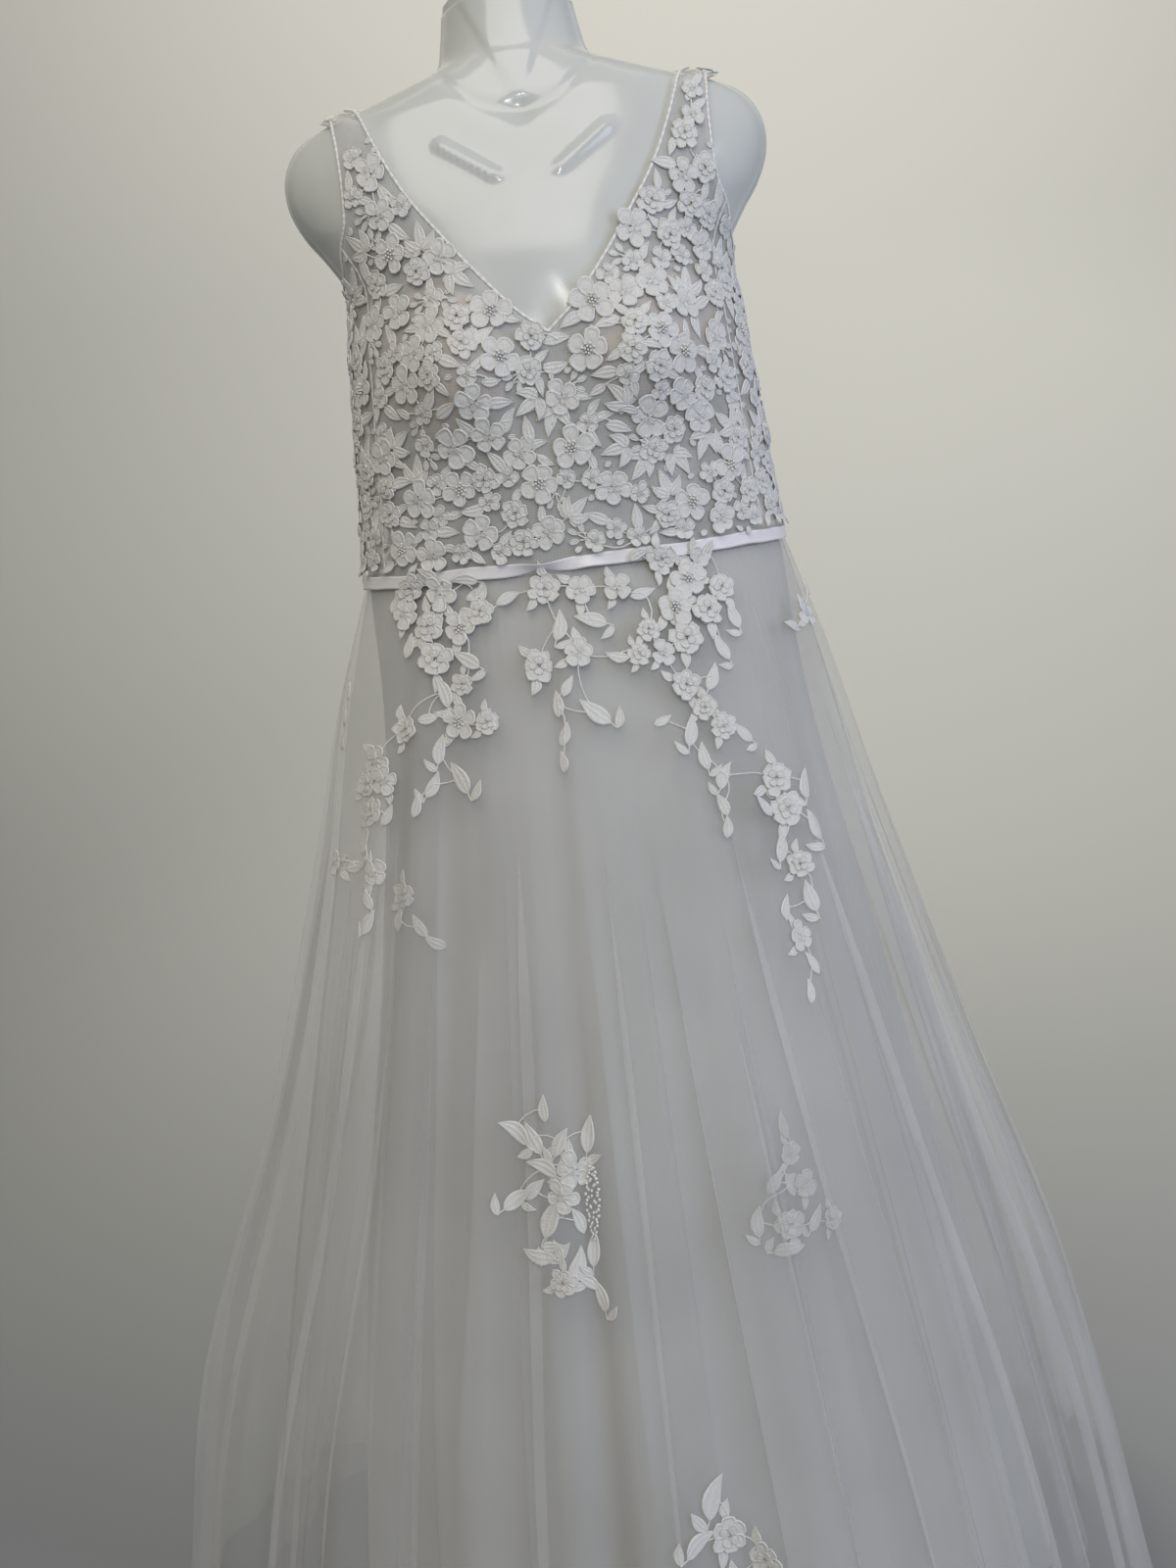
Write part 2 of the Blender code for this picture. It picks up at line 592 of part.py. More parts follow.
def ribbon(name, start, end):
    steps = np.linspace(math.radians(start) * ARC + SEAM, math.radians(end) * ARC - SEAM,
                        max(3, round(abs(end - start) / 5.0) + 1))
    low, high = v_at_height(RIBBON_LOW), v_at_height(RIBBON_HIGH)
    outline = [(a, low) for a in steps] + [(a, high) for a in reversed(steps)]
    outer = triangulate(outline, [], [], [])
    inner = triangulate(outline, [], [], [])
    mesh = wall_mesh(
        name, outline, outer, inner,
        lambda p, h: torso_point(p[0] / ARC, p[1], 1.0, RIBBON_LIFT + RIBBON_WALL),
        lambda p, h: torso_point(p[0] / ARC, p[1], 1.0, RIBBON_LIFT),
    )
    return add_object(name, mesh, satin)


def back_buttons():
    """Covered buttons down the left edge of the back opening."""
    for i in range(BUTTONS):
        v = v_at_height(BUTTON_LOW + i * BUTTON_PITCH)
        theta = -math.pi + 1.3 * BUTTON_RADIUS / ARC
        centre = torso_point(theta, v, 1.0, DRESS_LIFT + CLOTH_WALL + 0.0005 + BUTTON_DEPTH)
        build = bmesh.new()
        bmesh.ops.create_uvsphere(build, u_segments=8, v_segments=4, radius=BUTTON_RADIUS)
        for vertex in build.verts:
            x, y, z = vertex.co
            vertex.co = (x, z * BUTTON_DEPTH / BUTTON_RADIUS, -y)
        mesh = bpy.data.meshes.new("button_mesh")
        build.to_mesh(mesh)
        build.free()
        mesh.shade_smooth()
        piece = add_object(f"button_{i + 1}", mesh, satin)
        piece.location = centre


def rim_lengths():
    """Places up the form's edge, close together round the armhole and the shoulder."""
    found = []
    for start, end, height in zip(LENGTHS, LENGTHS[1:], SMOOTH_ROWS[:, 0]):
        pieces = max(1, round((end - start) / (0.014 if 1.30 < height < 1.52 else 0.045)))
        found += [float(start + (end - start) * i / pieces) for i in range(pieces)]
    return found[1:]


def form_shell():
    """Half a torso with its back open, a raised lip round it and two collarbone ridges."""
    edge = math.radians(90.0) * ARC
    bottom = [(a, 0.0) for a in np.linspace(-edge, edge, 17)]
    top = [(a, LENGTHS[-1]) for a in np.linspace(edge, -edge, 9)]
    sides = rim_lengths()
    outline = bottom + [(edge, v) for v in sides] + top + [(-edge, v) for v in reversed(sides)]
    lip_in, lip_foot = [], []
    for v in [0.012, *sides[:-1], LENGTHS[-1] - 0.008]:
        row = torso_row(v)
        lip_in.append((edge - RIM_WIDTH * ARC / row[2], v))
        lip_foot.append((edge - (RIM_WIDTH + 0.002) * ARC / row[2], v))
    lines = []
    for run, lift in ((lip_in, RIM_RAISE), (lip_foot, 0.0)):
        lines.append((run, [lift] * len(run)))
        lines.append(([(-a, v) for a, v in run], [lift] * len(run)))
    rings = []
    for side in (-1, 1):
        ends = (dress_place(0.028, 1.450), dress_place(0.072, 1.482))
        rings += bar_rings([(side * a, v) for a, v in ends])
    taken = [p for ring, _ in rings for p in ring]
    grid = []
    for point in grid_inside(outline, 0.032, 0.012):
        near_lip = edge - abs(point[0]) < 0.024
        if not near_lip and all(math.dist(point, other) > 0.008 for other in taken):
            grid.append((point, 0.0))
    outer = triangulate(outline, rings, grid, lines)
    lip = {place_key(p) for p in outline if abs(p[0]) > edge - 1e-6}
    heights = [RIM_RAISE if place_key(p) in lip else h for p, h in zip(outer[0], outer[1])]
    outer = (outer[0], heights, outer[2])
    inner = triangulate(outline, [], [(p, 0.0) for p in grid_inside(outline, 0.046, 0.018)], [])
    mesh = wall_mesh(
        "form_shell", outline, outer, inner,
        lambda p, h: torso_point(p[0] / ARC, p[1], 0.0, h),
        lambda p, h: torso_point(p[0] / ARC, p[1], 0.0, -FORM_WALL),
    )
    return add_object("form_shell", mesh, plastic)


def bar_rings(ends):
    """A rounded bar between two points: its foot and its raised top."""
    start, end = np.array(ends[0]), np.array(ends[1])
    along = (end - start) / np.linalg.norm(end - start)
    if along[0] < 0:
        start, end, along = end, start, -along
    across = np.array((-along[1], along[0]))
    rings = []
    for radius, lift in ((0.0065, 0.0), (0.0035, BAR_RAISE)):
        ring = []
        for centre, first in ((end, -90.0), (start, 90.0)):
            for step in range(5):
                angle = math.radians(first + step * 45.0)
                ring.append(tuple(centre + radius * (math.cos(angle) * along + math.sin(angle) * across)))
        rings.append((ring, lift))
    return rings


def neck_cap():
    """A D-shaped plate that closes the neck and rests on the pole."""
    row = torso_row(LENGTHS[-1])
    turns = np.linspace(-math.pi / 2, math.pi / 2, 13)
    points = [(row[1] * math.sin(a), -row[2] * math.cos(a)) for a in turns]
    build = bmesh.new()
    face = build.faces.new([build.verts.new((x, y, row[0] + GAP)) for x, y in points])
    extruded = bmesh.ops.extrude_face_region(build, geom=[face])
    raised = [g for g in extruded["geom"] if isinstance(g, bmesh.types.BMVert)]
    bmesh.ops.translate(build, verts=raised, vec=(0.0, 0.0, CAP_THICK))
    bmesh.ops.recalc_face_normals(build, faces=build.faces)
    mesh = bpy.data.meshes.new("neck_cap")
    build.to_mesh(mesh)
    build.free()
    return add_object("neck_cap", mesh, plastic)


def turned(name, profile, place):
    """A body of revolution from radius and height pairs, top to bottom."""
    mesh = bpy.data.meshes.new(name)
    mesh.from_pydata([(r, 0.0, z) for r, z in profile], [(i, i + 1) for i in range(len(profile) - 1)], [])
    piece = add_object(name, mesh, stand_white)
    piece.location = place
    screw = piece.modifiers.new("turn", "SCREW")
    screw.steps = screw.render_steps = 24
    screw.use_merge_vertices = True
    screw.merge_threshold = 0.0001


def stand():
    """A round base, a collar on it, and the pole that carries the neck cap."""
    plate = (
        (0.0, BASE_THICK),
        (BASE_RADIUS - BASE_EDGE, BASE_THICK),
        (BASE_RADIUS, BASE_THICK - BASE_EDGE),
        (BASE_RADIUS, 0.0),
        (0.0, 0.0),
    )
    collar = (
        (0.0, COLLAR_TOP),
        (COLLAR_RADIUS, COLLAR_TOP),
        (COLLAR_RADIUS * 1.2, BASE_THICK + COLLAR_FOOT),
        (COLLAR_RADIUS * 2.0, BASE_THICK + GAP),
        (0.0, BASE_THICK + GAP),
    )
    turned("stand_base", plate, (0.0, 0.0, 0.0))
    turned("stand_collar", collar, (0.0, POLE_Y, 0.0))
    length = torso_row(LENGTHS[-1])[0] - COLLAR_TOP - GAP
    bpy.ops.mesh.primitive_cylinder_add(vertices=16, radius=POLE_RADIUS, depth=length)
    pole = bpy.context.object
    pole.name = "stand_pole"
    pole.location = (0.0, POLE_Y, COLLAR_TOP + GAP + length / 2)
    pole.data.materials.append(stand_white)
    pole.data.shade_smooth()
    pole.data.set_sharp_from_angle(angle=math.radians(40.0))
    for home in list(pole.users_collection):
        home.objects.unlink(pole)
    model.objects.link(pole)


# The skirt layers

class Skirt:
    """One layer: a grid of columns round the body and rows down it, with folds."""

    def __init__(self, rows, folds, phase):
        self.rows = np.array(rows)[::-1]
        self.heights = self.rows[:, 0]
        crest = np.arange(folds)
        centre = (crest + 0.26 * np.sin(2.1 * crest + phase) + 0.16 * np.sin(5.3 * crest)) * math.tau / folds
        depth = 0.72 + 0.28 * np.sin(1.7 * crest + 2.0 * phase)
        angles, waves = [], []
        for i in range(folds):
            after = centre[(i + 1) % folds] + (math.tau if i == folds - 1 else 0.0)
            next_depth = (depth[i] + depth[(i + 1) % folds]) / 2
            for share, wave in ((0.0, depth[i]), (0.25, 0.0), (0.5, -next_depth), (0.75, 0.0)):
                angles.append(centre[i] + (after - centre[i]) * share - math.pi)
                waves.append(wave)
        self.angles, self.waves = np.array(angles), np.array(waves)
        self.points = np.array([[self.corner(row, a, w) for a, w in zip(angles, waves)] for row in self.rows])
        self.normals = self.find_normals()

    def corner(self, row, angle, wave):
        height, left, right, front, back, fold = row
        half = right if math.sin(angle) > 0 else left
        depth = front if math.cos(angle) > 0 else back
        drop = 1.0 - height / WAIST
        swell = sum(share * math.sin(count * angle + phase) for count, share, phase in FLARE_WAVES)
        x, y = half * math.sin(angle), -depth * math.cos(angle)
        out = np.array((math.sin(angle) / half, -math.cos(angle) / depth))
        out /= np.linalg.norm(out)
        push = fold * wave + FLARE * swell * drop
        return (x + out[0] * push, y + out[1] * push, height)

    def find_normals(self):
        across = np.roll(self.points, -1, axis=1) - np.roll(self.points, 1, axis=1)
        up = np.gradient(self.points, self.heights, axis=0)
        normals = np.cross(across, up)
        return normals / np.linalg.norm(normals, axis=2, keepdims=True)

    def at(self, place, lift):
        """A point of the faceted layer from its layout coordinates, moved out by lift."""
        angle, height = place[0] / SKIRT_ARC, place[1]
        first = self.angles[0]
        turned = (angle - first) % math.tau + first
        i = int(np.searchsorted(self.angles, turned, side="right")) - 1
        after = self.angles[i + 1] if i + 1 < len(self.angles) else first + math.tau
        t = (turned - self.angles[i]) / (after - self.angles[i])
        k = (i + 1) % len(self.angles)
        j = min(max(int(np.searchsorted(self.heights, height, side="right")) - 1, 0), len(self.heights) - 2)
        s = (height - self.heights[j]) / (self.heights[j + 1] - self.heights[j])

        def blend(grid):
            low = grid[j, i] * (1 - t) + grid[j, k] * t
            high = grid[j + 1, i] * (1 - t) + grid[j + 1, k] * t
            return low * (1 - s) + high * s

        normal = blend(self.normals)
        return blend(self.points) + normal / np.linalg.norm(normal) * lift

    def seam_angle(self, degrees):
        """The column nearest to an angle, so that a seam runs along a fold."""
        wanted = math.radians(degrees)
        return float(self.angles[np.argmin(np.abs(self.angles - wanted))])

    def angle_at(self, x, height):
        """The angle of a front point from its sideways place and height."""
        half = np.interp(height, self.heights, self.rows[:, 2 if x > 0 else 1])
        return math.asin(max(-1.0, min(1.0, x / half)))


def snapped(ring, columns, reach=0.0007):
    """The ring with points that lie beside a column moved onto it."""
    moved = []
    for x, y in ring:
        near = columns[np.argmin(np.abs(columns - x))] if len(columns) else x
        moved.append((float(near), y) if abs(near - x) < reach else (x, y))
    return moved


def skirt_gore(name, layer, start, end, motifs, material):
    """One gore between two seams, with its lace raised outside."""
    low, high = start * SKIRT_ARC + SEAM, end * SKIRT_ARC - SEAM
    turns = [layer.angles + turn for turn in (-math.tau, 0.0, math.tau)]
    every = np.concatenate(turns)
    columns = every[(every > start + 1e-6) & (every < end - 1e-6)] * SKIRT_ARC
    xs = [low, *[float(c) for c in columns], high]
    heights = [float(z) for z in layer.heights]
    outline = [(x, heights[0]) for x in xs]
    outline += [(high, z) for z in heights[1:-1]]
    outline += [(x, heights[-1]) for x in reversed(xs)]
    outline += [(low, z) for z in reversed(heights[1:-1])]
    rings, centres = flat_topped(motifs)
    rings = [(snapped(ring, columns), lift) for ring, lift in rings]
    tops = [ring for ring, lift in rings if lift > 0.0]
    plain, raised = [], []
    for x in xs[1:-1]:
        run = [(x, z) for z in heights]
        plain.append((run, [0.0] * len(run)))
        raised.append((run, [LACE_RAISE if any(inside(p, top) for top in tops) else 0.0 for p in run]))
    outer = triangulate(outline, rings, centres, raised)
    inner = triangulate(outline, [], [], plain)
    mesh = wall_mesh(
        name, outline, outer, inner,
        lambda p, h: layer.at(p, h),
        lambda p, h: layer.at(p, -SKIRT_WALL),
    )
    return add_object(name, mesh, material)


def skirt_layer(prefix, layer, seams, motifs, material):
    """All the gores of a layer; each motif goes to the gore that holds it."""
    angles = [layer.seam_angle(d) for _, d in seams]
    for i, (part, _) in enumerate(seams):
        start = angles[i]
        end = angles[i + 1] if i + 1 < len(angles) else angles[0] + math.tau
        own = []
        for centre, size, turn, kind in motifs:
            for shift in (-math.tau * SKIRT_ARC, 0.0, math.tau * SKIRT_ARC):
                x = centre[0] + shift
                clear = start * SKIRT_ARC + size + 0.001 < x < end * SKIRT_ARC - size - 0.001
                apart = all(math.dist((x, centre[1]), o[0]) > (size + o[1]) * 0.98 for o in own)
                if clear and apart:
                    own.append(((x, centre[1]), size, turn, kind))
        skirt_gore(f"{prefix}_{part}", layer, start, end, own, material)


def front_motifs(layer, table):
    return [((layer.angle_at(x, z) * SKIRT_ARC, z), size, turn, kind) for x, z, size, turn, kind in table]


def trail_motifs():
    """A trail of lace that hangs from the waist at each of the angles at the back."""
    found = []
    for number, angle in enumerate(TRAIL_ANGLES):
        for shift, drop, size, turn, kind in BACK_LACE:
            side = 1 if number % 2 else -1
            place = (math.radians(angle + side * shift) * SKIRT_ARC, WAIST - drop)
            found.append((place, size, turn * side, kind))
    return found


clear_scene()
model = bpy.data.collections.new("wedding dress on a dress form")
bpy.context.scene.collection.children.link(model)
plastic = make_material("form plastic", FORM_WHITE, 0.22)
lace = make_material("lace on net", LACE_WHITE, 0.75)
tulle = make_material("tulle", NET_WHITE, 0.80)
lining_cloth = make_material("lining satin", NET_WHITE, 0.55)
satin = make_material("ribbon satin", SATIN_WHITE, 0.40)
nude = make_material("nude cup", NUDE, 0.80)
stand_white = make_material("stand paint", STAND_WHITE, 0.35)

form_shell()
neck_cap()
stand()
bodice_front()
bodice_side("bodice_side_right", 1)
bodice_side("bodice_side_left", -1)
bodice_back("bodice_back_right", 1)
bodice_back("bodice_back_left", -1)
bust_cup("cup_right", 1)
bust_cup("cup_left", -1)
ribbon("ribbon_front", -88.0, 88.0)
ribbon("ribbon_back_right", 88.0, 180.0)
ribbon("ribbon_back_left", -180.0, -88.0)
back_buttons()

# The gores of each layer, each with the angle at which it starts
OUTER_GORES = (
    ("back_left", -179.0), ("side_left", -100.0), ("front", -46.0),
    ("side_right", 46.0), ("back_right", 100.0),
)
MIDDLE_GORES = (("side_left", -130.0), ("front", -45.0), ("side_right", 45.0), ("back", 130.0))
LINING_GORES = (("side_left", -125.0), ("front", -50.0), ("side_right", 50.0), ("back", 125.0))

outer_layer = Skirt(OUTER_ROWS, OUTER_FOLDS, 0.4)
middle_layer = Skirt(MIDDLE_ROWS, MIDDLE_FOLDS, 1.1)
lining_layer = Skirt(LINING_ROWS, LINING_FOLDS, 2.3)
outer_lace = front_motifs(outer_layer, OUTER_LACE) + trail_motifs()
skirt_layer("outer", outer_layer, OUTER_GORES, outer_lace, tulle)
skirt_layer("middle", middle_layer, MIDDLE_GORES, front_motifs(middle_layer, MIDDLE_LACE), tulle)
skirt_layer("lining", lining_layer, LINING_GORES, [], lining_cloth)
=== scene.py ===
"""The looks of a lace and tulle wedding dress on a white dress form, built around its frame.

Metres, +Z up. The front of the dress faces -Y and +X is the viewer's right.
"""
import math

import bpy
import numpy as np
from mathutils import Matrix, Vector
from mathutils.geometry import delaunay_2d_cdt


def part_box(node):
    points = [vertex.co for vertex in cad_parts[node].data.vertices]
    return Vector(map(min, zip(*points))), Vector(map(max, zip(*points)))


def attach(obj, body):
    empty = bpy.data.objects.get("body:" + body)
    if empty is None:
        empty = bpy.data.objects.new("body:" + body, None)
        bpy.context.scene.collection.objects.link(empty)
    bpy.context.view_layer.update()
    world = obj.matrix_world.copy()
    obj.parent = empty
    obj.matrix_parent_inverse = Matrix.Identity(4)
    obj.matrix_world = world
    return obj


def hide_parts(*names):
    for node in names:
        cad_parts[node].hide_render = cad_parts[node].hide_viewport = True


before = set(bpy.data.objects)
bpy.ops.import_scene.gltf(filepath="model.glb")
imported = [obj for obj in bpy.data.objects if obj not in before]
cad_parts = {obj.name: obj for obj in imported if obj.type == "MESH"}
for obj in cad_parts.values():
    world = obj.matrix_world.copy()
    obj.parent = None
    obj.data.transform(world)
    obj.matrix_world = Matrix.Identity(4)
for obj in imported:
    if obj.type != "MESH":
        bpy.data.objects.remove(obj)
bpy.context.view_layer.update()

# Driving dimensions, the same as the solids'
WAIST = 1.120           # height of the waist seam
SKIRT_TOP = WAIST - 0.0008
CLOTH_WALL = 0.0016     # the bodice's wall in the solids
DRESS_LIFT = 0.0038     # inside of the bodice over the form
NET_LIFT = DRESS_LIFT + 0.0010     # the bodice's net over the form
FORM_WALL = 0.0030
RIM_WIDTH = 0.0090      # raised lip all round the form's open back
RIM_RAISE = 0.0014
BAR_RAISE = 0.0035      # collarbone ridges
RIDGE_FROM = 1.49       # the shoulder's ridge lies above this
BAR_START, BAR_END = (0.027, 1.4455), (0.070, 1.4765)     # ends of a ridge, as half width and height
NET_SPACING = 0.006     # of the points of a bodice panel
ARC = 0.155             # metres of cloth for a radian of the torso, for laying out its panels
SKIRT_ARC = 0.30        # the same for the skirt
NEAR_ARC = 0.150        # the same for how far apart two places of the bodice are
SKIRT_NEAR_ARC = 0.22   # and two motifs of the skirt
SEAM = 0.00015          # what each side of a seam gives up
SIDE_FRONT, SIDE_BACK = 60.0, 112.0     # angles of the side seams, from centre front
BUST_OUT = 0.022        # how far the bust stands out
BUST_X, BUST_Z = 0.083, 1.292
BUST_WIDE, BUST_TALL = 0.044, 0.046
CUP_LIFT = 0.0036       # outer face of the nude cups over the form
CUP_X, CUP_Z = 0.094, 1.300     # middle of a cup
CUP_REACH, CUP_SPREAD = 0.057, 0.012     # its radius, and how much more it has up towards the arm
CUP_WALL, RIBBON_WALL = 0.0012, 0.0004
RIBBON_LOW, RIBBON_HIGH = WAIST + 0.0006, WAIST + 0.0122
RIBBON_LIFT = DRESS_LIFT + CLOTH_WALL + 0.0011
BUTTONS = 9
BUTTON_RADIUS = 0.0052
BACK_NECK = 1.262       # where the V at the back ends

# height, half width, front depth, side ease, front ease, back depth of the dress
TORSO = (
    (0.905, 0.160, 0.078, 0.0000, 0.0000, 0.080),
    (0.985, 0.172, 0.090, 0.0060, 0.0000, 0.080),
    (1.055, 0.174, 0.094, 0.0170, 0.0020, 0.082),
    (1.120, 0.172, 0.095, 0.0245, 0.0080, 0.084),
    (1.190, 0.170, 0.098, 0.0185, 0.0085, 0.088),
    (1.260, 0.172, 0.104, 0.0100, 0.0060, 0.090),
    (1.320, 0.173, 0.107, 0.0030, 0.0040, 0.089),
    (1.385, 0.1725, 0.103, 0.0000, 0.0015, 0.085),
    (1.412, 0.1880, 0.098, 0.0000, 0.0000, 0.081),
    (1.435, 0.2040, 0.093, 0.0000, 0.0000, 0.078),
    (1.458, 0.2130, 0.087, 0.0000, 0.0000, 0.075),
    (1.480, 0.2130, 0.081, 0.0000, 0.0000, 0.073),
    (1.498, 0.2045, 0.076, 0.0000, 0.0000, 0.071),
    (1.5105, 0.1900, 0.073, 0.0000, 0.0000, 0.070),
    (1.5180, 0.1700, 0.071, 0.0000, 0.0000, 0.069),
    (1.5260, 0.1430, 0.069, 0.0000, 0.0000, 0.068),
    (1.5350, 0.1120, 0.067, 0.0000, 0.0000, 0.066),
    (1.5430, 0.0850, 0.065, 0.0000, 0.0000, 0.064),
    (1.5520, 0.0670, 0.062, 0.0000, 0.0000, 0.060),
    (1.5740, 0.0600, 0.058, 0.0000, 0.0000, 0.058),
    (1.5950, 0.0560, 0.056, 0.0000, 0.0000, 0.056),
)

# Edges of the bodice, as half width and height seen from the front
NECK_EDGE = ((0.030, 1.341), (0.057, 1.374), (0.084, 1.411), (0.103, 1.438), (0.124, 1.480), (0.134, 1.505))
NECK_POINT = 1.316
STRAP_IN, STRAP_OUT = 0.1375, 0.1660     # strap edges where they cross the shoulder
ARM_EDGE = ((0.160, 1.432), (0.158, 1.452), (0.158, 1.472), (0.159, 1.492), (0.161, 1.508))
ARM_FRONT_TOP, ARM_BACK_TOP = 1.414, 1.404     # where the armhole meets the side seams
UNDERARM = ((72.0, 1.393), (85.0, 1.383), (99.0, 1.386))
BACK_EDGE = ((0.020, 1.285), (0.050, 1.335), (0.084, 1.395), (0.110, 1.445), (0.129, 1.492))
BACK_ARM = ((0.165, 1.428), (0.160, 1.452), (0.158, 1.476), (0.160, 1.500))

# height, half width at the viewer's left and right, depth in front and behind, depth of the folds
OUTER_ROWS = (
    (SKIRT_TOP, 0.2015, 0.2015, 0.1080, 0.0890, 0.0000),
    (1.030, 0.2360, 0.2300, 0.1370, 0.1150, 0.0018),
    (0.860, 0.2850, 0.2740, 0.1890, 0.1610, 0.0045),
    (0.620, 0.3640, 0.3440, 0.2640, 0.2180, 0.0085),
    (0.340, 0.4800, 0.4320, 0.3520, 0.2820, 0.0125),
    (0.000, 0.5680, 0.5000, 0.4320, 0.3450, 0.0160),
)
MIDDLE_ROWS = (
    (SKIRT_TOP, 0.1990, 0.1990, 0.1055, 0.0865, 0.0000),
    (1.030, 0.2280, 0.2220, 0.1295, 0.1080, 0.0015),
    (0.800, 0.2850, 0.2700, 0.1900, 0.1610, 0.0040),
    (0.420, 0.3880, 0.3560, 0.2860, 0.2240, 0.0085),
    (0.000, 0.4900, 0.4400, 0.3780, 0.2950, 0.0120),
)
LINING_ROWS = (
    (SKIRT_TOP, 0.1965, 0.1965, 0.1030, 0.0840, 0.0000),
    (1.000, 0.2020, 0.2080, 0.1230, 0.0990, 0.0015),
    (0.800, 0.2330, 0.2430, 0.1600, 0.1240, 0.0045),
    (0.420, 0.3100, 0.3200, 0.2330, 0.1800, 0.0080),
    (0.000, 0.3750, 0.4000, 0.3000, 0.2400, 0.0110),
)
OUTER_FOLDS, MIDDLE_FOLDS, LINING_FOLDS = 28, 18, 14
FLARE = 0.010           # slow swell of all three layers at the hem
FLARE_WAVES = ((3, 0.6, 0.8), (7, 0.4, 2.1))     # count round the hem, share, phase

# Creases of the tulle and the lining: angle from centre front, height where it
# starts and ends, its width and depth in millimetres, how far the cloth is pulled over itself
# (1 is upright), and how many degrees it leans on the way down
OUTER_CREASES = (
    # hidden at the left of the back
    (-168.0, 1.02, 0.00, 12.0, 7.0, 2.2, 1.5), (-151.0, 0.88, 0.20, 8.0, 4.0, 0.6, -1.0),
    (-139.0, 1.05, 0.06, 11.0, 7.5, 2.6, 2.0), (-124.0, 0.94, 0.00, 9.0, 5.5, 1.8, -1.5),
    (-109.0, 1.04, 0.28, 7.0, 4.0, 0.7, 1.0), (-96.0, 0.97, 0.00, 12.0, 7.5, 2.6, -1.0),
    # the left edge, where the veil is gathered thickest
    (-83.0, 1.06, 0.10, 9.0, 6.5, 2.4, 1.0), (-71.0, 0.90, 0.00, 11.0, 7.5, 2.6, -1.5),
    (-62.0, 1.00, 0.22, 7.0, 4.0, 0.8, 1.5), (-51.0, 0.99, 0.00, 10.5, 7.0, 2.4, 1.0),
    (-43.0, 0.82, 0.16, 6.5, 4.0, 1.8, -1.0), (-33.5, 0.97, 0.00, 13.0, 6.5, 1.2, 0.5),
    # the front, where the creases are wide and soft
    (-24.5, 0.86, 0.30, 11.0, 4.0, 0.8, -1.0), (-17.5, 1.03, 0.00, 15.0, 6.5, 2.0, 2.5),
    (-9.0, 0.93, 0.45, 12.0, 4.0, 0.5, 1.0), (-1.5, 1.00, 0.00, 9.0, 5.0, 2.1, -1.0),
    (7.0, 0.95, 0.00, 12.0, 6.5, 1.2, 2.5), (15.5, 0.83, 0.24, 6.5, 4.0, 1.8, 1.0),
    (22.0, 1.02, 0.00, 15.0, 6.0, 1.9, 4.0), (31.5, 0.89, 0.00, 12.0, 5.5, 1.0, -0.5),
    # the right edge
    (40.5, 1.01, 0.00, 9.5, 7.0, 2.6, 2.0), (50.5, 0.94, 0.32, 11.0, 5.0, 1.0, -1.0),
    (59.0, 1.04, 0.00, 12.0, 7.5, 2.6, 1.0), (70.0, 0.98, 0.00, 9.0, 6.5, 2.4, -1.5),
    (81.0, 1.05, 0.12, 11.0, 7.0, 2.6, 1.5),
    # hidden at the right of the back
    (93.0, 0.91, 0.00, 8.5, 5.5, 2.0, -1.0), (106.0, 1.03, 0.00, 12.0, 7.5, 2.4, 1.0),
    (121.0, 0.86, 0.25, 8.0, 4.0, 0.8, -1.5), (136.0, 1.04, 0.00, 11.0, 7.0, 2.6, 1.0),
    (149.0, 0.95, 0.09, 9.0, 5.5, 2.0, 2.0), (164.0, 1.02, 0.00, 10.5, 7.0, 2.4, -1.0),
)
MIDDLE_CREASES = (
    (-160.0, 0.98, 0.00, 13.0, 7.0, 2.2, 1.0), (-132.0, 1.02, 0.00, 12.0, 7.0, 2.4, -1.5),
    (-110.0, 0.90, 0.14, 10.5, 5.5, 0.8, 1.0), (-89.0, 1.00, 0.00, 12.0, 7.0, 2.4, 1.5),
    (-66.0, 0.95, 0.00, 10.5, 7.0, 2.6, -1.0), (-48.0, 1.02, 0.22, 8.5, 5.0, 1.8, 1.5),
    (-37.0, 0.88, 0.00, 12.0, 7.0, 2.4, -1.0), (-21.0, 0.98, 0.00, 9.0, 6.5, 1.2, 1.0),
    (-6.0, 0.90, 0.18, 10.5, 5.5, 0.8, 1.5), (4.0, 1.02, 0.00, 12.0, 6.5, 1.0, -1.0),
    (18.5, 0.93, 0.00, 13.0, 6.0, 1.6, 1.5), (36.0, 1.00, 0.12, 13.0, 5.5, 1.0, 1.0),
    (47.0, 0.92, 0.00, 12.0, 7.0, 2.6, -1.0), (66.0, 1.00, 0.00, 10.5, 7.0, 2.4, 1.0),
    (88.0, 0.94, 0.00, 12.0, 7.0, 2.4, 1.5), (113.0, 1.01, 0.10, 10.5, 5.5, 1.8, -1.0),
    (140.0, 0.97, 0.00, 12.0, 7.0, 2.4, 1.0), (166.0, 1.00, 0.00, 10.5, 6.5, 2.2, 1.5),
)
LINING_CREASES = (
    (-150.0, 0.92, 0.00, 22.0, 5.0, 0.3, 1.0), (-112.0, 0.98, 0.00, 19.0, 5.0, 0.4, -1.0),
    (-74.0, 0.90, 0.00, 20.0, 5.5, 0.4, 1.5), (-46.0, 1.00, 0.10, 15.0, 4.0, 0.4, 1.0),
    (-20.0, 0.86, 0.00, 19.0, 5.0, 0.4, -1.5), (3.0, 0.95, 0.00, 16.0, 4.5, 0.4, 1.0),
    (27.0, 0.99, 0.00, 20.0, 5.0, 0.4, 1.5), (55.0, 0.93, 0.00, 18.0, 5.0, 0.4, 1.0),
    (84.0, 0.99, 0.00, 20.0, 5.5, 0.4, -1.0), (118.0, 0.90, 0.00, 19.0, 4.5, 0.3, 1.5),
    (152.0, 0.96, 0.00, 21.0, 5.0, 0.4, 1.0),
)
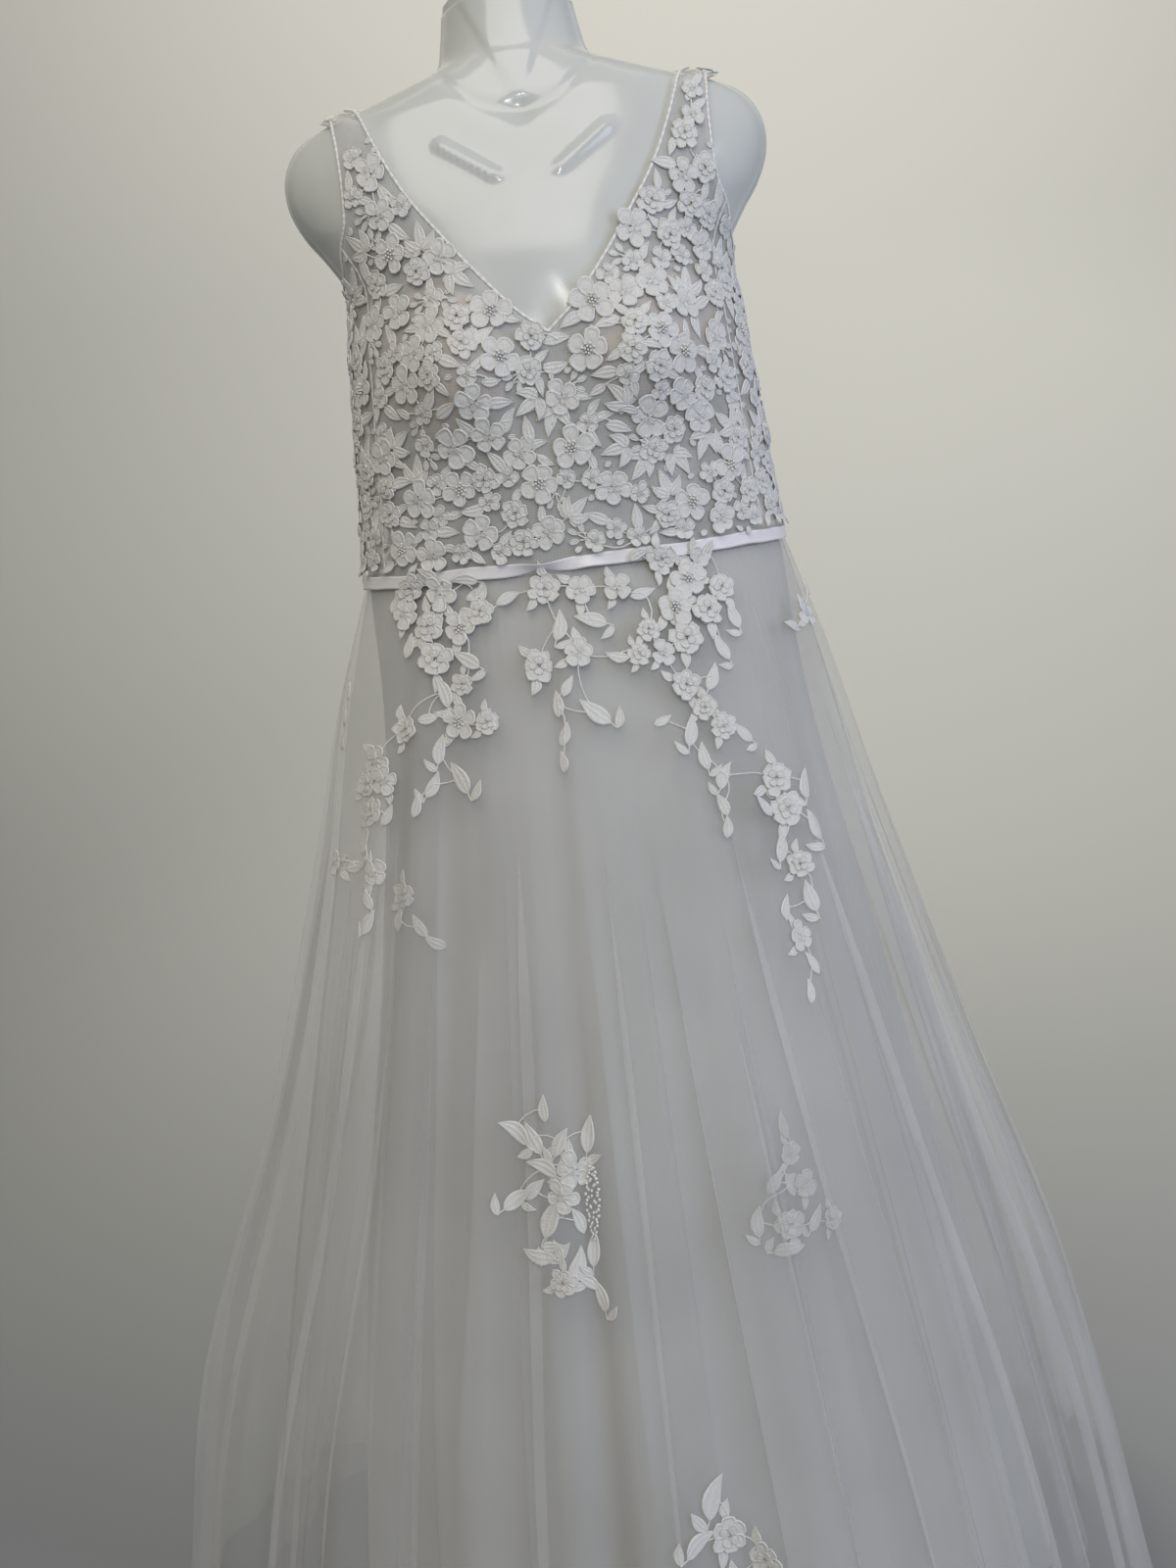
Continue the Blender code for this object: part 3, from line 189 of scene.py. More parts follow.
# Fine uneven ripples that grow towards the hem, and gathers that fade below the waist:
# count round the skirt, metres, phase
RIPPLES = ((47, 0.0009, 0.3), (61, 0.0006, 1.9), (83, 0.0003, 4.1))
GATHERS = ((97, 0.0003, 0.7), (131, 0.0002, 2.6), (173, 0.0002, 5.0))

# Drag lines of the bodice: angle, height, half length, tilt from level in
# degrees, width, depth
DRAG_LINES = (
    (-52.0, 1.205, 0.040, -18.0, 0.0060, 0.0012), (-57.0, 1.168, 0.030, -8.0, 0.0050, 0.0010),
    (-40.0, 1.150, 0.034, 6.0, 0.0050, 0.0008), (50.0, 1.190, 0.036, 16.0, 0.0060, 0.0011),
    (56.0, 1.150, 0.028, 6.0, 0.0050, 0.0009), (12.0, 1.145, 0.030, 3.0, 0.0050, 0.0006),
    (-84.0, 1.180, 0.038, 10.0, 0.0065, 0.0012), (86.0, 1.210, 0.040, -12.0, 0.0065, 0.0012),
    (-130.0, 1.160, 0.036, -8.0, 0.0060, 0.0011), (132.0, 1.175, 0.038, 10.0, 0.0060, 0.0011),
    (-150.0, 1.215, 0.030, 14.0, 0.0055, 0.0009), (152.0, 1.145, 0.032, -6.0, 0.0055, 0.0009),
)

# Large flowers of the bodice front: angle from centre front, height and petal length in
# millimetres, turn, and whether beads fill its centre
FRONT_FLOWERS = (
    (-15.0, 1337, 17.5, 10, True), (-14.0, 1300, 18, 50, True), (13.0, 1335, 19, 30, True),
    (10.5, 1297, 19, 75, True), (2.5, 1222, 19, 20, True), (-7.0, 1197, 18.5, 60, True),
    (33.0, 1165, 18, 5, True), (49.0, 1193, 18, 40, True), (37.0, 1288, 18.5, 12, True),
    (-50.0, 1154, 18, 33, True), (42.0, 1148, 15, 21, False), (-29.0, 1235, 18, 45, False),
    (-42.0, 1195, 17.5, 15, False), (24.0, 1240, 18, 25, False), (-24.0, 1160, 17.5, 70, False),
    (27.0, 1390, 16.5, 55, False), (-27.0, 1385, 16.5, 25, False), (39.0, 1430, 14, 20, False),
    (-39.0, 1428, 14, 65, False), (-43.0, 1290, 17.5, 20, False), (-33.0, 1332, 16.5, 5, False),
    (31.0, 1345, 16.5, 40, False), (-22.0, 1268, 17, 80, False), (52.0, 1300, 16.5, 30, False),
    (-56.0, 1235, 16.5, 60, False), (40.0, 1235, 16.5, 15, False), (12.0, 1185, 16.5, 50, False),
    (-56.0, 1345, 15, 10, False), (53.0, 1375, 15, 70, False),
)
# Motifs that lie over the ribbon: angle, height and size in millimetres, turn, kind
WAIST_LACE = (
    (-47.0, 1119, 15, 20, "flower"), (-36.5, 1113, 16.5, 50, "flower"), (-53.0, 1108, 11, 60, "leaf"),
    (-29.5, 1121, 13, 170, "leaf"), (-41.0, 1131, 11, 150, "leaf"), (-26.0, 1110, 11, 30, "leaf"),
    (21.5, 1119, 15.5, 35, "flower"), (30.0, 1111, 15, 10, "flower"), (35.5, 1120, 11, 60, "leaf"),
    (16.0, 1126, 10, 20, "leaf"),
)
# Lace on the skirt: place from the centre, height and size in millimetres, turn, kind
OUTER_LACE = (
    # the group at the left of the waist, and the trail below it
    (-136, 1085, 17.5, 25, "flower"), (-108, 1082, 17, 60, "flower"), (-88, 1094, 14, 5, "flower"),
    (-156, 1098, 15, 40, "flower"), (-133, 1057, 18.5, 70, "flower"), (-105, 1054, 15, 150, "leaf"),
    (-157, 1070, 12, 75, "leaf"), (-131, 1028, 15, 110, "leaf"), (-112, 1034, 12, 20, "flower"),
    (-118, 1003, 17, 15, "flower"), (-168, 998, 15, 55, "flower"), (-145, 1008, 11, 10, "leaf"),
    (-93, 1001, 12.5, 30, "flower"), (-139, 980, 14, 75, "leaf"), (-124, 955, 17, 125, "leaf"),
    (-150, 951, 13, 60, "leaf"), (-166, 934, 11, 80, "leaf"),
    # the short trail in the middle
    (-62, 1102, 12, 20, "leaf"), (-30, 1106, 15.5, 15, "flower"), (0, 1102, 15, 55, "flower"),
    (-22, 1075, 14, 80, "leaf"), (6, 1076, 15, 160, "leaf"), (-43, 1043, 16, 50, "flower"),
    (-8, 1050, 15, 5, "flower"), (0, 1000, 17, 135, "leaf"), (-31, 1010, 12, 95, "leaf"),
    (-20, 1024, 10, 60, "leaf"), (-28, 985, 11, 75, "leaf"), (-32, 962, 9.5, 100, "leaf"),
    # the group at the right of the waist, and the trail below it
    (32, 1100, 13, 40, "flower"), (54, 1093, 12, 10, "leaf"), (95, 1099, 18, 25, "flower"),
    (124, 1088, 15, 75, "flower"), (80, 1077, 17.5, 5, "flower"), (109, 1071, 16.5, 60, "flower"),
    (132, 1063, 13, 100, "leaf"), (54, 1062, 12, 10, "flower"), (25, 1044, 11, 160, "leaf"),
    (44, 1043, 11.5, 50, "flower"), (65, 1040, 12, 20, "flower"), (87, 1050, 17.5, 45, "flower"),
    (117, 1038, 14, 110, "leaf"), (81, 1011, 15.5, 75, "flower"), (104, 1015, 13, 65, "leaf"),
    (95, 990, 12, 15, "flower"), (79, 973, 15, 70, "leaf"), (108, 972, 13.5, 30, "flower"),
    (125, 964, 13, 130, "leaf"), (90, 950, 13, 95, "leaf"), (105, 931, 13, 60, "leaf"),
    (99, 908, 11, 110, "leaf"), (101, 889, 10, 85, "leaf"), (56, 986, 9, 20, "leaf"),
    # the small sprigs by the two side seams
    (206, 1050, 13, 20, "flower"), (187, 1043, 11, 150, "leaf"), (212, 1072, 9, 80, "leaf"),
    (-226, 1030, 9, 95, "leaf"), (-232, 1006, 8, 85, "leaf"), (-238, 984, 8.5, 80, "leaf"),
    # the trail far left
    (-199, 972, 16.5, 60, "flower"), (-213, 950, 15, 25, "flower"), (-193, 955, 14, 80, "flower"),
    (-211, 928, 15, 35, "flower"), (-196, 925, 11, 60, "leaf"), (-221, 899, 13, 70, "leaf"),
    (-214, 874, 13.5, 50, "flower"), (-236, 876, 13, 10, "leaf"), (-254, 877, 12, 170, "flower"),
    (-221, 852, 10, 110, "leaf"), (-224, 832, 13, 60, "leaf"),
    # the trail far right
    (150, 920, 17.5, 10, "flower"), (176, 909, 15, 60, "leaf"), (156, 893, 18, 45, "flower"),
    (177, 874, 15.5, 100, "leaf"), (136, 899, 12, 120, "leaf"), (146, 862, 14, 70, "leaf"),
    (161, 845, 14, 30, "flower"), (167, 817, 15, 100, "leaf"), (143, 813, 12, 60, "leaf"),
    (152, 786, 14, 20, "flower"), (160, 762, 12, 110, "leaf"), (152, 742, 11, 75, "leaf"),
    # the large spray, nearly all pointed leaves
    (-84, 684, 11.5, 95, "leaf"), (-114, 664, 16.5, 142, "leaf"), (-98, 660, 15, 118, "leaf"),
    (-73, 658, 13.5, 65, "leaf"), (-50, 662, 16.5, 80, "leaf"), (-66, 636, 16, 20, "flower"),
    (-92, 636, 15, 160, "leaf"), (-118, 611, 16, 28, "leaf"), (-101, 619, 13, 45, "leaf"),
    (-77, 616, 14, 60, "flower"), (-88, 598, 18.5, 68, "leaf"), (-68, 596, 12, 105, "leaf"),
    (-104, 569, 15, 172, "leaf"), (-87, 572, 14, 40, "leaf"), (-73, 564, 15, 65, "leaf"),
    (-57, 572, 15.5, 82, "leaf"), (-85, 549, 13, 15, "flower"), (-66, 548, 12, 140, "leaf"),
    (-56, 535, 14, 115, "leaf"),
    # the lowest spray
    (16, 372, 19, 60, "leaf"), (24, 340, 18, 25, "flower"), (-2, 342, 16, 20, "leaf"),
    (52, 322, 16, 50, "flower"), (26, 306, 16, 100, "leaf"), (72, 304, 14, 150, "leaf"),
    (48, 288, 14, 70, "leaf"),
)
MIDDLE_LACE = (
    (115, 632, 12.5, 90, "leaf"), (117, 607, 12, 20, "flower"), (100, 590, 12, 60, "leaf"),
    (127, 578, 13.5, 50, "flower"), (112, 584, 12, 100, "leaf"), (86, 556, 14, 85, "leaf"),
    (108, 553, 16, 65, "flower"), (134, 547, 13, 40, "leaf"), (152, 537, 12, 10, "flower"),
    (105, 531, 14, 5, "leaf"), (-190, 852, 14, 30, "flower"), (-198, 830, 12, 80, "leaf"),
    (-179, 826, 12, 120, "leaf"), (-168, 812, 12, 150, "leaf"),
)
BEAD_CLUSTER = (-0.052, 0.612)     # where the hanging bunch of beads on the front spray is
BUNCH_BEADS, BUNCH_STEP = 58, 0.00105     # beads of the bunch, and how much lower each is
BACK_SHIFT = 0.016     # the back repeats the front's lace this much lower
BACK_SCALE, BACK_TURN = 0.97, 25     # a little smaller and turned further
BACK_WIDEST = 46.0     # and only as far round as this

# The camera, worked out from the photograph's size and the form's
PHOTO_SIZE = (1200, 1600)
FOCAL_PIXELS = 1250.0
CAMERA_PLACE = (-0.014, -1.189, 1.178)
CAMERA_PITCH = math.radians(13.0)      # down from level
CAMERA_ROLL = math.radians(7.2)        # the form hangs that much askew

rng = np.random.default_rng(41)


# Making nodes and materials

def linear(hex_colour):
    """A colour in linear light from its sRGB hex value."""
    parts = [int(hex_colour[i:i + 2], 16) / 255 for i in (1, 3, 5)]
    return tuple(c / 12.92 if c <= 0.04045 else ((c + 0.055) / 1.055) ** 2.4 for c in parts)


def add_node(tree, kind, settings=None, inputs=None):
    """Adds a node. An input is given a value, or the socket that feeds it."""
    made = tree.nodes.new(kind)
    for name, value in (settings or {}).items():
        setattr(made, name, value)
    for name, value in (inputs or {}).items():
        if isinstance(value, bpy.types.NodeSocket):
            tree.links.new(value, made.inputs[name])
        else:
            made.inputs[name].default_value = value
    return made


def new_material(name, sockets):
    """A material with one Principled shader, set as given. Returns it, its tree and its shader."""
    material = bpy.data.materials.new(name)
    material.use_nodes = True
    tree = material.node_tree
    shader = tree.nodes["Principled BSDF"]
    for socket, value in sockets.items():
        shader.inputs[socket].default_value = value
    return material, tree, shader


def vary_colour(tree, shader, low, high, scale, detail=3.0, low_at=0.35, high_at=0.65):
    """Lets a noise of the given scale move the base colour between two hex values."""
    place = add_node(tree, "ShaderNodeTexCoord")
    noise = add_node(tree, "ShaderNodeTexNoise", inputs={
        "Vector": place.outputs["Object"], "Scale": scale, "Detail": detail,
    })
    ramp = add_node(tree, "ShaderNodeValToRGB", inputs={"Fac": noise.outputs["Fac"]})
    ramp.color_ramp.elements[0].position = low_at
    ramp.color_ramp.elements[0].color = (*linear(low), 1.0)
    ramp.color_ramp.elements[1].position = high_at
    ramp.color_ramp.elements[1].color = (*linear(high), 1.0)
    tree.links.new(ramp.outputs["Color"], shader.inputs["Base Color"])


def add_bump(tree, shader, height, distance, strength=1.0):
    bump = add_node(tree, "ShaderNodeBump", inputs={
        "Height": height, "Distance": distance, "Strength": strength,
    })
    tree.links.new(bump.outputs["Normal"], shader.inputs["Normal"])


def woven_height(tree, pitch):
    """Crossed threads, pitch metres apart, from the cloth's own layout in metres."""
    layout = add_node(tree, "ShaderNodeUVMap", {"uv_map": "layout"})
    split = add_node(tree, "ShaderNodeSeparateXYZ", inputs={"Vector": layout.outputs["UV"]})
    waves = []
    for axis in ("X", "Y"):
        turned = add_node(tree, "ShaderNodeMath", {"operation": "MULTIPLY"}, {
            0: split.outputs[axis], 1: math.tau / pitch,
        })
        waves.append(add_node(tree, "ShaderNodeMath", {"operation": "SINE"}, {0: turned.outputs[0]}))
    joined = add_node(tree, "ShaderNodeMath", {"operation": "MAXIMUM"}, {
        0: waves[0].outputs[0], 1: waves[1].outputs[0],
    })
    return joined.outputs[0]


def glossy_polystyrene():
    """Vacuum-formed white polystyrene sheet: a hard gloss with the sheet's slight waviness."""
    material, tree, shader = new_material("glossy white polystyrene sheet", {
        "Roughness": 0.15, "IOR": 1.59, "Metallic": 0.0, "Subsurface Weight": 0.05,
        "Subsurface Radius": (0.004, 0.004, 0.004),
    })
    vary_colour(tree, shader, "#CED1CE", "#D6D9D6", 9.0)
    place = add_node(tree, "ShaderNodeTexCoord")
    waviness = add_node(tree, "ShaderNodeTexNoise", inputs={
        "Vector": place.outputs["Object"], "Scale": 26.0, "Detail": 1.5,
    })
    add_bump(tree, shader, waviness.outputs["Fac"], 0.0006, 0.5)
    return material


THREAD_PITCH = 0.0013


def corded_embroidery():
    """Rayon satin stitch with corded edges: bright raised cords round softer, greyer petals.

    The threads are 0.4 mm in the real lace, and are drawn 1.3 mm apart so that they show. Their colour is
    darkened in the grooves between threads as painted shade, mixed with a random uneven tone.
    """
    material, tree, shader = new_material("ivory rayon corded embroidery", {
        "Roughness": 0.62, "IOR": 1.46, "Sheen Weight": 0.25, "Sheen Roughness": 0.4,
    })
    raised = add_node(tree, "ShaderNodeAttribute", {"attribute_name": "cord"})
    layout = add_node(tree, "ShaderNodeUVMap", {"uv_map": "layout"})
    split = add_node(tree, "ShaderNodeSeparateXYZ", inputs={"Vector": layout.outputs["UV"]})
    turned = add_node(tree, "ShaderNodeMath", {"operation": "MULTIPLY"}, {
        0: split.outputs["X"], 1: math.tau / THREAD_PITCH,
    })
    thread = add_node(tree, "ShaderNodeMath", {"operation": "SINE"}, {0: turned.outputs[0]})
    ramp = add_node(tree, "ShaderNodeValToRGB", inputs={"Fac": raised.outputs["Fac"]})
    ramp.color_ramp.elements[0].color = (*linear("#EDEDE9"), 1.0)
    ramp.color_ramp.elements[0].position = 0.05
    ramp.color_ramp.elements[1].color = (*linear("#FAF9F6"), 1.0)
    ramp.color_ramp.elements[1].position = 0.9
    place = add_node(tree, "ShaderNodeTexCoord")
    uneven = add_node(tree, "ShaderNodeTexNoise", inputs={
        "Vector": place.outputs["Object"], "Scale": 900.0, "Detail": 2.0,
    })
    stitches = add_node(tree, "ShaderNodeMath", {"operation": "MULTIPLY_ADD"}, {
        0: thread.outputs[0], 1: 0.22, 2: uneven.outputs["Fac"],
    })
    # painted shade: the colour darkens where the threads' bump is low, in the grooves between them; the noise
    # adds a random uneven tone
    shade = add_node(tree, "ShaderNodeMapRange", inputs={
        "Value": stitches.outputs[0], "From Min": 0.2, "From Max": 0.75, "To Min": 0.76, "To Max": 1.0,
    })
    painted_thread_shade_colour = add_node(tree, "ShaderNodeVectorMath", {"operation": "SCALE"}, {
        0: ramp.outputs["Color"], "Scale": shade.outputs["Result"],
    })
    tree.links.new(painted_thread_shade_colour.outputs["Vector"], shader.inputs["Base Color"])
    add_bump(tree, shader, stitches.outputs[0], 0.0006, 0.8)
    return material


def woven_cloth(name, sockets, colours, patch, pitch, depth, strength):
    """A cloth material: colours that vary by patches, under crossed threads pitch metres apart."""
    material, tree, shader = new_material(name, sockets)
    vary_colour(tree, shader, *colours, patch)
    add_bump(tree, shader, woven_height(tree, pitch), depth, strength)
    return material


def bodice_net_cloth():
    """Stiff nylon net over a second net: even and half see-through. Its colour is set greyer than the white
    net, as painted shade of the shadowed gap under it.

    Its meshes are 1 mm in the real net, and are drawn at 2.4 mm so that they show.
    """
    return woven_cloth("double nylon bodice net", {
        "Roughness": 0.85, "IOR": 1.5, "Alpha": 0.54, "Sheen Weight": 0.15, "Sheen Roughness": 0.5,
    }, ("#D0D0CD", "#DADAD7"), 30.0, 0.0024, 0.0002, 0.5)


def tulle_cloth(name, alpha, low, high):
    """Soft nylon tulle, so fine that it reads as a veil. Its 1 mm net is drawn at 3 mm."""
    return woven_cloth(name, {
        "Roughness": 0.9, "IOR": 1.5, "Alpha": alpha, "Sheen Weight": 0.2, "Sheen Roughness": 0.6,
    }, (low, high), 7.0, 0.0030, 0.0002, 0.4)


def lining_satin():
    """Polyester lining: closely woven, smooth, with a soft broad shine. Its colour is set greyer than the
    white satin, as painted shade from the tulle layers over it.

    Its threads are 0.1 mm apart in the real cloth, and are drawn at 1.6 mm.
    """
    return woven_cloth("polyester lining satin", {
        "Roughness": 0.55, "IOR": 1.5, "Sheen Weight": 0.15, "Sheen Roughness": 0.4,
    }, ("#C9C9C6", "#D3D3D0"), 5.0, 0.0016, 0.00008, 0.4)


def ribbon_satin():
    """Double-faced polyester satin ribbon: long floats give a narrow, lengthwise shine.

    The floats are 0.2 mm wide in the real ribbon, and are drawn at 1.2 mm.
    """
    return woven_cloth("pale satin ribbon", {
        "Roughness": 0.34, "IOR": 1.5, "Anisotropic": 0.5, "Sheen Weight": 0.1,
    }, ("#F3EFF1", "#FAF8F9"), 40.0, 0.0012, 0.00008, 0.5)


def cup_knit():
    """Brushed nude knit over foam: matt, pinkish, faintly mottled. Its 1 mm stitches are drawn at 1.8 mm."""
    return woven_cloth("nude brushed knit", {
        "Roughness": 0.9, "IOR": 1.5, "Sheen Weight": 0.3, "Sheen Roughness": 0.5,
    }, ("#F1DACE", "#F8E6DB"), 45.0, 0.0018, 0.00015, 0.5)


def seed_bead_glass():
    """Pearl-finished glass seed beads: small, bright and glossy."""
    material, tree, shader = new_material("pearl glass seed bead", {
        "Roughness": 0.16, "IOR": 1.53, "Coat Weight": 0.6, "Coat Roughness": 0.08,
    })
    vary_colour(tree, shader, "#DCDAD6", "#F7F6F3", 600.0)
    return material


def stand_powder_coat():
    """White powder coat on steel: satin, with a fine orange peel."""
    material, tree, shader = new_material("white powder-coated steel", {
        "Roughness": 0.38, "IOR": 1.5,
    })
    vary_colour(tree, shader, "#DFDFDD", "#E6E6E4", 12.0)
    place = add_node(tree, "ShaderNodeTexCoord")
    peel = add_node(tree, "ShaderNodeTexNoise", inputs={
        "Vector": place.outputs["Object"], "Scale": 700.0, "Detail": 1.0,
    })
    add_bump(tree, shader, peel.outputs["Fac"], 0.0002, 0.3)
    return material


# Making meshes

def add_piece(name, points, faces, material, layout=None, cord=None):
    """A mesh piece that rides with the object, with its layout in metres as its UV map."""
    mesh = bpy.data.meshes.new(name)
    mesh.from_pydata(np.asarray(points).tolist(), [], [tuple(f) for f in faces])
    mesh.shade_smooth()
    if layout is not None:
        corners = np.empty(len(mesh.loops), dtype=np.int32)
        mesh.loops.foreach_get("vertex_index", corners)
        uv = mesh.uv_layers.new(name="layout")
        uv.data.foreach_set("uv", np.asarray(layout, dtype=np.float32)[corners].ravel())
    if cord is not None:
        raised = mesh.attributes.new("cord", "FLOAT", "POINT")
        raised.data.foreach_set("value", np.asarray(cord, dtype=np.float32))
    mesh.materials.append(material)
    piece = bpy.data.objects.new(name, mesh)
    bpy.context.scene.collection.objects.link(piece)
    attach(piece, "root")
    return piece


def grid_faces(rows, columns, closed=False):
    """Quads of a grid with its points listed row by row, facing out when rows go up."""
    last = columns if closed else columns - 1
    j, i = np.meshgrid(np.arange(rows - 1), np.arange(last), indexing="ij")
    k = (i + 1) % columns
    low, high = j * columns, (j + 1) * columns
    quads = np.stack((low + i, low + k, high + k, high + i), axis=-1)
    return quads.reshape(-1, 4)


def thicken(piece, thickness):
    shell = piece.modifiers.new("cloth thickness", "SOLIDIFY")
    shell.thickness = thickness
    shell.offset = -1.0
    shell.use_even_offset = True


def directions(line):
    """The unit direction along a line at each of its points."""
    ahead = np.gradient(line, axis=0)
    return ahead / np.linalg.norm(ahead, axis=1, keepdims=True)


def round_angles(count):
    """Angles of a full turn, evenly spaced."""
    return np.arange(count) * math.tau / count


def smooth_step(t):
    t = np.clip(t, 0.0, 1.0)
    return t * t * (3 - 2 * t)


def hermite(places, values, slopes, at):
    """Values at the given places, on a smooth curve through a table's rows."""
    at = np.clip(at, places[0], places[-1])
    i = np.clip(np.searchsorted(places, at, side="right") - 1, 0, len(places) - 2)
    step = (places[i + 1] - places[i])[..., None]
    t = (at - places[i])[..., None] / step
    return (
        (2 * t**3 - 3 * t**2 + 1) * values[i]
        + (t**3 - 2 * t**2 + t) * slopes[i] * step
        + (3 * t**2 - 2 * t**3) * values[i + 1]
        + (t**3 - t**2) * slopes[i + 1] * step
    )


def smooth_line(points, count):
    """More points along a smooth curve through the given ones."""
    points = np.asarray(points, dtype=float)
    along = np.concatenate(([0.0], np.cumsum(np.linalg.norm(np.diff(points, axis=0), axis=1))))
    slopes = np.gradient(points, along, axis=0)
    return hermite(along, points, slopes, np.linspace(0.0, along[-1], count))


# The torso's surface

TORSO_ROWS = np.array(TORSO)
LENGTHS = np.concatenate(([0.0], np.cumsum(np.hypot(np.diff(TORSO_ROWS[:, 0]), np.diff(TORSO_ROWS[:, 1])))))
TORSO_SLOPES = np.gradient(TORSO_ROWS, LENGTHS, axis=0)
V_SAMPLES = np.linspace(0.0, LENGTHS[-1], 600)
SAMPLED = hermite(LENGTHS, TORSO_ROWS, TORSO_SLOPES, V_SAMPLES)


def v_at_height(height):
    return np.interp(height, SAMPLED[:, 0], V_SAMPLES)


def v_at_width(half_width):
    """The length at which the shoulder's ridge is this far from the centre."""
    ridge = SAMPLED[:, 0] > RIDGE_FROM
    return float(np.interp(-half_width, -SAMPLED[ridge, 1], V_SAMPLES[ridge]))


V_WAIST = v_at_height(WAIST)
V_STRAP = v_at_height(1.480)     # above this the straps turn over the shoulder


def bare_torso(theta, v, ease):
    row = hermite(LENGTHS, TORSO_ROWS, TORSO_SLOPES, v)
    height, half, front, side_ease, front_ease, back = np.moveaxis(row, -1, 0)
    x = (half + ease * side_ease) * np.sin(theta)
    near = np.exp(-(((np.abs(x) - BUST_X) / BUST_WIDE) ** 2) - ((height - BUST_Z) / BUST_TALL) ** 2)
    front_y = -(front + ease * front_ease + BUST_OUT * near) * np.cos(theta)
    y = np.where(np.cos(theta) >= 0.0, front_y, -back * np.cos(theta))
    return np.stack((x, y, height), axis=-1)


def outward(surface, theta, v, tiny_across=0.0006, tiny_up=0.0006):
    """Unit normals of a surface given as a function of two layout coordinates."""
    across = surface(theta + tiny_across, v) - surface(theta - tiny_across, v)
    up = surface(theta, v + tiny_up) - surface(theta, v - tiny_up)
    normal = np.cross(across, up)
    return normal / np.maximum(np.linalg.norm(normal, axis=-1, keepdims=True), 1e-12)


def torso_points(theta, v, ease, lift):
    """Points of the torso, moved out along their own normals by lift."""
    theta, v = np.broadcast_arrays(np.asarray(theta, dtype=float), np.asarray(v, dtype=float))
    normal = outward(lambda a, b: bare_torso(a, b, ease), theta, v)
    return bare_torso(theta, v, ease) + normal * np.asarray(lift)[..., None]


def drag_lift(theta, v):
    """How far the bodice's cloth stands off along its soft drag lines."""
    lift = np.zeros(np.shape(theta))
    for angle, height, half_length, tilt, width, depth in DRAG_LINES:
        across = (theta - math.radians(angle)) * NEAR_ARC
        up = v - v_at_height(height)
        cos, sin = math.cos(math.radians(tilt)), math.sin(math.radians(tilt))
        along, off = across * cos + up * sin, up * cos - across * sin
        bend = off - 0.12 * along**2 / half_length
        lift += depth * np.exp(-((bend / width) ** 2) - (along / half_length) ** 4)
    return lift


def dress_place(x, height):
    """Layout coordinates of a front point of the dress from its half width and height."""
    v = v_at_height(height)
    row = hermite(LENGTHS, TORSO_ROWS, TORSO_SLOPES, v)
    reach = row[..., 1] + row[..., 3] + DRESS_LIFT
    return np.arcsin(np.clip(x / reach, -1.0, 1.0)), v


# The skirt layers' surfaces

